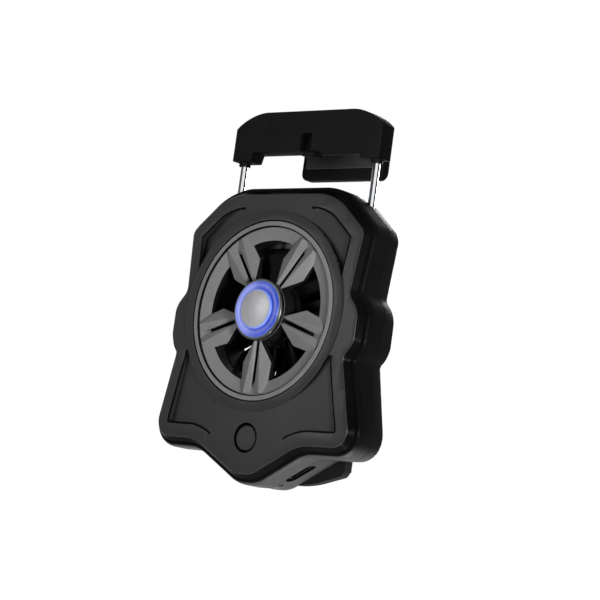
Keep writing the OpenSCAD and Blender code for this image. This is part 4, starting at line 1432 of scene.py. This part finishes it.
@dataclass
class Fan:
    """Impeller with a cup hub and swept, twisted blades.

    Chord and pitch are those at the hub, each with its change towards the tip.
    """

    blades: int = 11
    hub_r: float = 8.2
    tip_r: float = 17.2
    low_z: float = 2.6
    top_z: float = 9.4
    mid_z: float = 6.1
    thick: float = 0.6
    chord: Point = (6.6, 3.8)
    pitch: Point = (49.0, 20.5)
    camber: float = 0.9
    drop: float = 0.5
    wall: float = 0.7
    shaft_r: float = 0.76

    def blade(self, blank: Blank, start: float) -> None:
        """Adds one blade: a grid wrapped round the axis and given a thickness.

        Args:
            blank: The blank to add to.
            start: Angle of the blade.
        """
        grid = bmesh.ops.create_grid(blank.bm, x_segments=14, y_segments=10, size=0.5)["verts"]
        for v in grid:
            t, share = v.co.x, v.co.y + 0.5
            r = self.hub_r - 0.4 + (self.tip_r - self.hub_r + 0.4) * share
            chord = self.chord[0] + self.chord[1] * share
            pitch = math.radians(self.pitch[0] - self.pitch[1] * share)
            along, lift = t * chord, self.camber * (1 - 4 * t * t) - self.drop
            turn = start + (along * math.cos(pitch) - lift * math.sin(pitch)) / r
            height = self.mid_z + along * math.sin(pitch) + lift * math.cos(pitch)
            v.co = (r * math.cos(turn), r * math.sin(turn), height)
        faces = list(dict.fromkeys(f for v in grid for f in v.link_faces))
        bmesh.ops.recalc_face_normals(blank.bm, faces=faces)
        bmesh.ops.solidify(blank.bm, geom=faces, thickness=self.thick)

    def build(self, shop: Workshop) -> None:
        """Makes the impeller."""
        r, w, top, low = self.hub_r, self.wall, self.top_z, self.low_z
        hub = [(0, top), (r - w, top), (r - 0.2, top - 0.2), (r, top - w), (r, low), (r - w, low),
               (r - w, top - 2 * w), (self.shaft_r, top - 2 * w), (self.shaft_r, top - 0.3), (0, top - 0.3)]
        piece = Blank().lathe(hub, 96, False).solid("impeller")
        wings = Blank()
        for k in range(self.blades):
            self.blade(wings, 2 * math.pi * k / self.blades)
        wings.closed()
        carve(piece, wings.solid("wings"), Carve.JOIN)
        shop.place(piece, "fan_rotor", "fan_plastic", "fan_impeller", ["fan_black"], 40)


@dataclass
class PowerButton:
    """Round button with a dished top, a flange under the face and a stem."""

    y: float = -31.8
    profile: tuple[Point, ...] = ((0, 8.2), (0.9, 8.2), (1.0, 8.3), (1.0, 8.9), (4.45, 8.9), (4.45, 9.9), (3.1, 9.9),
                                  (3.1, 13.32), (3.02, 13.5), (2.82, 13.62), (2.5, 13.65), (1.5, 13.62), (0, 13.6))

    def build(self, shop: Workshop) -> None:
        """Makes the button."""
        piece = Blank().lathe(list(self.profile), 96, False, (0, self.y)).solid("button_cap")
        shop.place(piece, "button", "face_plastic", "power_button", ["button_satin"])


@dataclass
class Jaw:
    """Sliding upper jaw: arched plate with a notch, bridge, lip and stiffening ribs."""

    half: float = 24.3
    foot_y: float = 40.2
    top_y: float = 52.9
    front_z: float = 6.4
    back_z: float = 1.5
    bridge_half: float = 13.5
    bridge_y: float = 45.8
    wall: float = 2.4
    reach_z: float = -11.4
    lip_y: float = 40.8
    notch: float = 3.7
    notch_d: float = 1.8
    arch: tuple[float, float, float] = (19.65, 4.18, 16.0)
    gap_half: Point = (18.3, 17.7)
    gap_rise: float = 2.2
    rib_x: float = 8.2
    rib_half: float = 0.8
    rib_rise: Point = (2.5, 0.7)
    rod_x: float = 22.0
    rod_z: float = 3.9
    socket_r: float = 1.5
    bore_r: float = 0.91
    well_r: float = 1.8
    painted_shade_facing: float = 0.5

    def plate(self) -> bpy.types.Object:
        """Arched front plate with softened edges.

        Returns:
            The solid.
        """
        x, drop, radius = self.arch
        half = [Corner(x, self.top_y, radius, 14), Corner(self.half, self.top_y - drop), Corner(self.half, self.foot_y),
                Corner(self.gap_half[0], self.foot_y), Corner(self.gap_half[1], self.foot_y + self.gap_rise)]
        return Blank().block(Outline.mirrored(half), self.back_z, self.front_z).softened(0.22, 3).solid("jaw_shell")

    def build(self, shop: Workshop) -> None:
        """Makes the jaw."""
        piece = self.plate()
        b, w = self.bridge_half, self.wall
        top = self.bridge_y + w
        bridge = Blank().box((-b, self.bridge_y, self.reach_z + 0.1), (b, top, self.back_z + 0.4), 0.2)
        carve(piece, bridge.solid("bridge"), Carve.JOIN)
        corners = (Corner(-b, top, 0.3, 3), Corner(-b, self.lip_y - w, 2, 8), Corner(b, self.lip_y - w, 2, 8),
                   Corner(b, top, 0.3, 3))
        lip = Blank().block(Outline(corners), self.reach_z, self.reach_z + w).softened(0.2, 3)
        carve(piece, lip.solid("lip"), Carve.JOIN)
        near, far = self.back_z + 0.4, self.reach_z + 3
        rib = Outline((Corner(near, self.rib_rise[0]), Corner(far, self.rib_rise[1]), Corner(far, 0), Corner(near, 0)))
        for x in (-self.rib_x, self.rib_x):
            blank = Blank().block(rib, -self.rib_half, self.rib_half).softened(0.15, 2)
            blank.bm.transform(Matrix(((0, 0, 1, x), (0, 1, 0, top - 0.1), (1, 0, 0, 0), (0, 0, 0, 1))))
            carve(piece, blank.closed().solid("rib"), Carve.JOIN)
        tongue = Blank().box((-self.notch / 2, self.foot_y + 1.2, self.back_z + 0.1),
                             (self.notch / 2, self.foot_y + 3.2, 5.2), 0.15)
        carve(piece, tongue.solid("tongue"), Carve.JOIN)
        slot = Blank().box((-self.notch / 2, self.foot_y + 2, self.front_z - self.notch_d),
                           (self.notch / 2, self.foot_y + 6.8, 9))
        carve(piece, slot.solid("notch_tool"), Carve.CUT)
        for x in (-self.rod_x, self.rod_x):
            socket = Blank().drum(self.socket_r, self.foot_y - 1, self.foot_y + 0.3, 48, (x, self.rod_z), "Y")
            carve(piece, socket.softened(0.15, 2).solid("socket"), Carve.JOIN)
            bore = Blank().drum(self.bore_r, self.foot_y - 2, self.foot_y + 7.7, 32, (x, self.rod_z), "Y")
            carve(piece, bore.solid("bore"), Carve.CUT)
            well = Blank().drum(self.well_r, 0.5, self.back_z + 0.9, 48, (x, self.foot_y + 5.2))
            carve(piece, well.solid("well"), Carve.CUT)
        # Side faces take the blacker copy of the jaw plastic: painted shade.
        for face in piece.data.polygons:
            face.material_index = int(abs(face.normal.z) < self.painted_shade_facing)
        shop.place(piece, "clamp_jaw", "shell_plastic", "upper_jaw", ["jaw_black", "jaw_side"], 28)


@dataclass
class Springs:
    """Two coil springs on the rods, between the housing's bushes and the jaw's collars."""

    rod: Point = (22.0, 3.9)
    low_y: float = -8.3
    top_y: float = 16.7
    mean_r: float = 1.35
    wire_r: float = 0.25
    turns: int = 11
    steps: int = 20

    def coil(self, x: float) -> Blank:
        """Round wire wound upwards about one rod.

        Args:
            x: Place of the rod.

        Returns:
            The coil.
        """
        blank, count = Blank(), self.turns * self.steps
        start = Matrix.Translation((x + self.mean_r, self.low_y, self.rod[1]))
        bmesh.ops.create_circle(blank.bm, cap_ends=True, radius=self.wire_r, segments=10, matrix=start)
        wire = [*blank.bm.verts, *blank.bm.edges, *blank.bm.faces]
        bmesh.ops.spin(blank.bm, geom=wire, cent=(x, 0, self.rod[1]), axis=(0, 1, 0),
                       dvec=(0, (self.top_y - self.low_y) / count, 0), angle=2 * math.pi * self.turns, steps=count,
                       use_merge=False, use_duplicate=False)
        return blank.closed()

    def build(self, shop: Workshop) -> None:
        """Makes both springs."""
        for side, x in (("left", -self.rod[0]), ("right", self.rod[0])):
            ends = {"housing": Vector((x, self.top_y, self.rod[1])),
                    "clamp_jaw": Vector((x, self.low_y, self.rod[1]))}
            shop.span(self.coil(x).solid(f"{side}_coil"), ends, "steel", f"{side}_spring", "spring_steel")


@dataclass
class Hook:
    """Fixed lower hook: neck behind the nose, bowed plate, shelf, lip and ribs."""

    half: float = 20.4
    lip_half: float = 14.4
    top: float = -34.0
    depth: float = 7.2
    sag: float = 3.2
    wall: float = 2.4
    plate_z: float = -1.4
    reach_z: float = -11.4
    rise: float = 5.0
    back_z: float = 0.8
    nose: tuple[Corner, ...] = (Corner(10.82, -36.18), Corner(2.8, -40.7, 8, 10))
    flush: float = 2.1
    rib_x: float = 11.6
    rib_half: float = 0.8
    hole_x: float = 4.8
    hole_r: float = 1.15

    def build(self, shop: Workshop) -> None:
        """Makes the hook."""
        low = self.top - self.depth
        half = [Corner(self.half, self.top - 0.04, 0.4, 3), Corner(self.half, low + self.sag, 2.0, 8),
                Corner(9.2, low, 30.0, 16)]
        plate = Blank().block(Outline.mirrored(half), self.plate_z - self.wall, self.plate_z)
        piece = plate.softened(0.2, 3).solid("hook_shell")
        nose = Outline.mirrored(list(self.nose)).moved(self.flush)
        neck = Blank().block(nose, self.plate_z - 0.3, self.back_z + 1.1)
        carve(piece, neck.solid("neck"), Carve.JOIN)
        shelf = Blank().box((0.05 - self.lip_half, self.top - self.wall + 0.05, self.reach_z + 0.15),
                            (self.lip_half - 0.05, self.top, self.plate_z - 0.3), 0.2)
        carve(piece, shelf.solid("shelf"), Carve.JOIN)
        b, foot = self.lip_half, self.top - self.wall
        corners = (Corner(-b, self.top + self.rise, 2, 8), Corner(-b, foot, 0.3, 3), Corner(b, foot, 0.3, 3),
                   Corner(b, self.top + self.rise, 2, 8))
        lip = Blank().block(Outline(corners), self.reach_z, self.reach_z + self.wall).softened(0.2, 3)
        carve(piece, lip.solid("lip"), Carve.JOIN)
        for x in (-self.rib_x, self.rib_x):
            z = self.plate_z - self.wall + 0.2
            rib = Outline((Corner(z, 0.1), Corner(self.reach_z + 2, 0.1), Corner(self.reach_z + 2, -1),
                           Corner(z, -3.4)))
            blank = Blank().block(rib, -self.rib_half, self.rib_half).softened(0.15, 2)
            blank.bm.transform(Matrix(((0, 0, 1, x), (0, 1, 0, foot), (1, 0, 0, 0), (0, 0, 0, 1))))
            carve(piece, blank.closed().solid("rib"), Carve.JOIN)
        holes = Blank()
        for x in (-self.hole_x, self.hole_x):
            holes.drum(self.hole_r, self.plate_z - self.wall - 1, self.back_z + 2, 32, (x, self.top - self.wall - 1.9))
        carve(piece, holes.solid("hole_tool"), Carve.CUT)
        for face in piece.data.polygons:
            face.material_index = int(face.center.z > self.plate_z + 0.05)
        shop.place(piece, "housing", "shell_plastic", "lower_hook", ["jaw_black", "shell_black"], 28)


@dataclass
class RubberPads:
    """Grooved jaw pads and the smooth pads behind the housing."""

    groove: float = 0.35
    pitch: float = 1.5
    cut_half: float = 0.25
    cut_z: Point = (-7.6, -0.6)
    back_z: float = -9.0
    lip_z: float = -8.3
    soft: float = 0.15
    rear_t: float = 1.1
    hub_r: float = 7.5
    ring: Point = (20.6, 23.6)
    arc: Point = (20, 50)

    def angle_pad(self, name: str, half: float, y0: float, y1: float, lip: Point,
                  gripped: int) -> bpy.types.Object:
        """Pad with a shelf part and a lip part, with grooves over the shelf part.

        Args:
            name: Name of the piece.
            half: Half its length.
            y0: Underside of the shelf part.
            y1: Top of the shelf part.
            lip: Lowest and highest point of the lip part.
            gripped: 1 if the phone lies above, -1 if below.

        Returns:
            The pad in millimetres, as an object.
        """
        piece = Blank().box((-half, y0, self.back_z), (half, y1, 0), self.soft).solid(name)
        edge = Blank().box((-half, lip[0], self.back_z), (half, lip[1], self.lip_z), self.soft)
        carve(piece, edge.solid("pad_lip"), Carve.JOIN)
        face = y1 if gripped > 0 else y0
        cuts = Blank()
        count = int(2 * half / self.pitch)
        for k in range(1, count):
            x = -half + 2 * half * k / count
            ends = sorted((face - gripped * self.groove, face + gripped * 2))
            cuts.box((x - self.cut_half, ends[0], self.cut_z[0]), (x + self.cut_half, ends[1], self.cut_z[1]))
        return carve(piece, cuts.solid("groove_tool"), Carve.CUT)

    def build(self, shop: Workshop) -> None:
        """Makes all the pads."""
        upper = self.angle_pad("jaw_pad", 12.0, 44.8, 45.8, (41.4, 45.4), -1)
        lower = self.angle_pad("hook_pad", 13.4, -34.0, -33.0, (-33.6, -29.6), 1)
        shop.place(upper, "clamp_jaw", "pad_rubber", "upper_jaw_pad", ["pad_rubber"], 30)
        shop.place(lower, "housing", "pad_rubber", "lower_hook_pad", ["pad_rubber"], 30)
        rear, (start, sweep) = Blank().drum(self.hub_r, 0, self.rear_t, 96), self.arc
        for k in range(4):
            rear.sector(*self.ring, 0, self.rear_t, start + 90 * k, sweep, 24)
        rear.softened(0.2, 3)
        back = rear.solid("back_pads")
        shop.place(back, "housing", "pad_rubber", "rear_pads", ["pad_rubber"], 30)


@dataclass
class KeptNodes:
    """CAD nodes whose own mesh stays, with their finishes."""

    finishes: dict[str, str] = field(default_factory=lambda: {
        "light_board": "board_mask", "control_board": "board_mask", "bearing_sleeve": "turned_brass",
        "rod_bushes": "turned_brass", "stator_core": "core_steel", "stator_coils": "coil_wire",
        "rotor_yoke": "core_steel", "rotor_magnet": "magnet_grey", "fan_shaft": "chrome_rod",
        "button_switch": "switch_grey", "charge_port": "port_plate", "charge_light": "light_pipe",
        "battery_cell": "pouch_foil", "case_screws": "dark_steel", "clamp_rods": "chrome_rod",
        "rod_collars": "dark_steel", "jaw_screws": "dark_steel"})

    def dress(self, nodes: dict[str, bpy.types.Object], shop: Workshop) -> None:
        """Gives each node its finish.

        Args:
            nodes: The frame's nodes by name.
            shop: The workshop.
        """
        for name, finish in self.finishes.items():
            shop.dress(nodes[name], finish)


# Studio


@dataclass(frozen=True)
class Lamp:
    """Soft rectangular lamp aimed at the fan."""

    name: str
    place: Colour
    size: Point
    watts: float

    def build(self, target: Vector) -> None:
        """Adds the lamp, aimed at a point."""
        data = bpy.data.lights.new(self.name, "AREA")
        data.shape = "RECTANGLE"
        data.size, data.size_y = self.size
        data.energy = self.watts
        lamp = bpy.data.objects.new(self.name, data)
        lamp.location = self.place
        lamp.visible_camera = False
        lamp.rotation_euler = (target - Vector(self.place)).to_track_quat("-Z", "Y").to_euler()
        bpy.context.scene.collection.objects.link(lamp)


@dataclass
class Studio:
    """Camera at the photograph's angle, pale floor, white surroundings and soft lamps."""

    camera_at: Colour = (0.3989, -0.4544, -0.0755)
    forward: Colour = (-0.6542, 0.7446, 0.1324)
    down: Colour = (0.0157, 0.1884, -0.982)
    lens: float = 145.09
    floor_z: float = -0.2
    floor_glow: float = 0.6
    ambient: float = 0.1
    lamps: tuple[Lamp, ...] = (
        Lamp("key_lamp", (0.54, -0.225, -0.04), (0.09, 0.09), 5.4),
        Lamp("sheen_lamp", (-0.25, -0.425, 0.07), (0.12, 0.12), 0.5),
        Lamp("top_lamp", (0.1, -0.3, 0.55), (0.4, 0.3), 0.5),
        Lamp("rear_lamp", (-0.22, 0.62, 0.14), (0.4, 0.4), 13.0),
        Lamp("under_lamp", (0.04, 0.03, -0.19), (0.14, 0.06), 0.9),
    )

    def camera(self) -> None:
        """Adds the camera."""
        data = bpy.data.cameras.new("camera")
        data.lens, data.sensor_width = self.lens, 36.0
        data.clip_start, data.clip_end = 0.01, 50.0
        camera = bpy.data.objects.new("camera", data)
        back = -Vector(self.forward).normalized()
        right = Vector(self.down).cross(-back).normalized()
        up = back.cross(right)
        turn = Matrix((right, up, back)).transposed().to_4x4()
        camera.matrix_world = Matrix.Translation(self.camera_at) @ turn
        bpy.context.scene.collection.objects.link(camera)
        bpy.context.scene.camera = camera

    def floor(self) -> None:
        """Adds a pale floor under the fan."""
        bm = bmesh.new()
        level = Matrix.Translation((0, 0, self.floor_z))
        bmesh.ops.create_grid(bm, x_segments=1, y_segments=1, size=3.0, matrix=level)
        mesh = bpy.data.meshes.new("floor")
        bm.to_mesh(mesh)
        bm.free()
        floor = bpy.data.objects.new("floor", mesh)
        bpy.context.scene.collection.objects.link(floor)
        tree = FinishTree.named("floor_paper")
        tone = tree.noise(9, 3, 0.5)
        paper = tree.principled({
            "Base Color": tree.mix(tone, (0.82, 0.82, 0.82), (0.86, 0.86, 0.86)),
            "Roughness": 0.9,
            "Specular IOR Level": 0.1,
        })
        white = tree.out(tree.add("ShaderNodeEmission", None, {"Color": (1, 1, 1, 1), "Strength": 1.0}))
        share = tree.seen("Is Glossy Ray", "Is Transmission Ray") + tree.seen("Is Camera Ray") * self.floor_glow
        shown = tree.blend(share, paper, white)
        tree.add("ShaderNodeOutputMaterial", None, {"Surface": shown})
        mesh.materials.append(tree.holder)

    def world(self) -> None:
        """Sets soft surroundings that the camera, metal and clear parts see as white."""
        world = bpy.data.worlds.new("studio")
        tree = FinishTree(world)
        soft, white = (tree.out(tree.add("ShaderNodeBackground", None, {"Color": (tone, tone, tone, 1)}))
                       for tone in (self.ambient, 1.0))
        shown = tree.blend(tree.seen("Is Camera Ray", "Is Glossy Ray", "Is Transmission Ray"), soft, white)
        tree.add("ShaderNodeOutputWorld", None, {"Surface": shown})
        bpy.context.scene.world = world

    def build(self, target: Vector) -> None:
        """Sets the whole studio round a point."""
        bpy.context.scene.view_settings.view_transform = "Standard"
        self.camera()
        self.floor()
        self.world()
        for lamp in self.lamps:
            lamp.build(target)


def main() -> None:
    """Builds the looks round the CAD frame."""
    logging.basicConfig(level=logging.INFO, format="%(name)s: %(message)s")
    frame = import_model()
    Studio().build(Vector((0, -0.008, 0.005)))
    shop = Workshop(Palette())
    housing = Housing()
    housing.build_front(shop)
    housing.build_rear(shop)
    for part in (Grille(), HubLight(), Fan(), PowerButton(), Jaw(), Springs(), Hook(), RubberPads()):
        part.build(shop)
    KeptNodes().dress(frame["nodes"], shop)
    LOG.info("%d pieces made", len(shop.made))


if __name__ == "__main__":
    main()
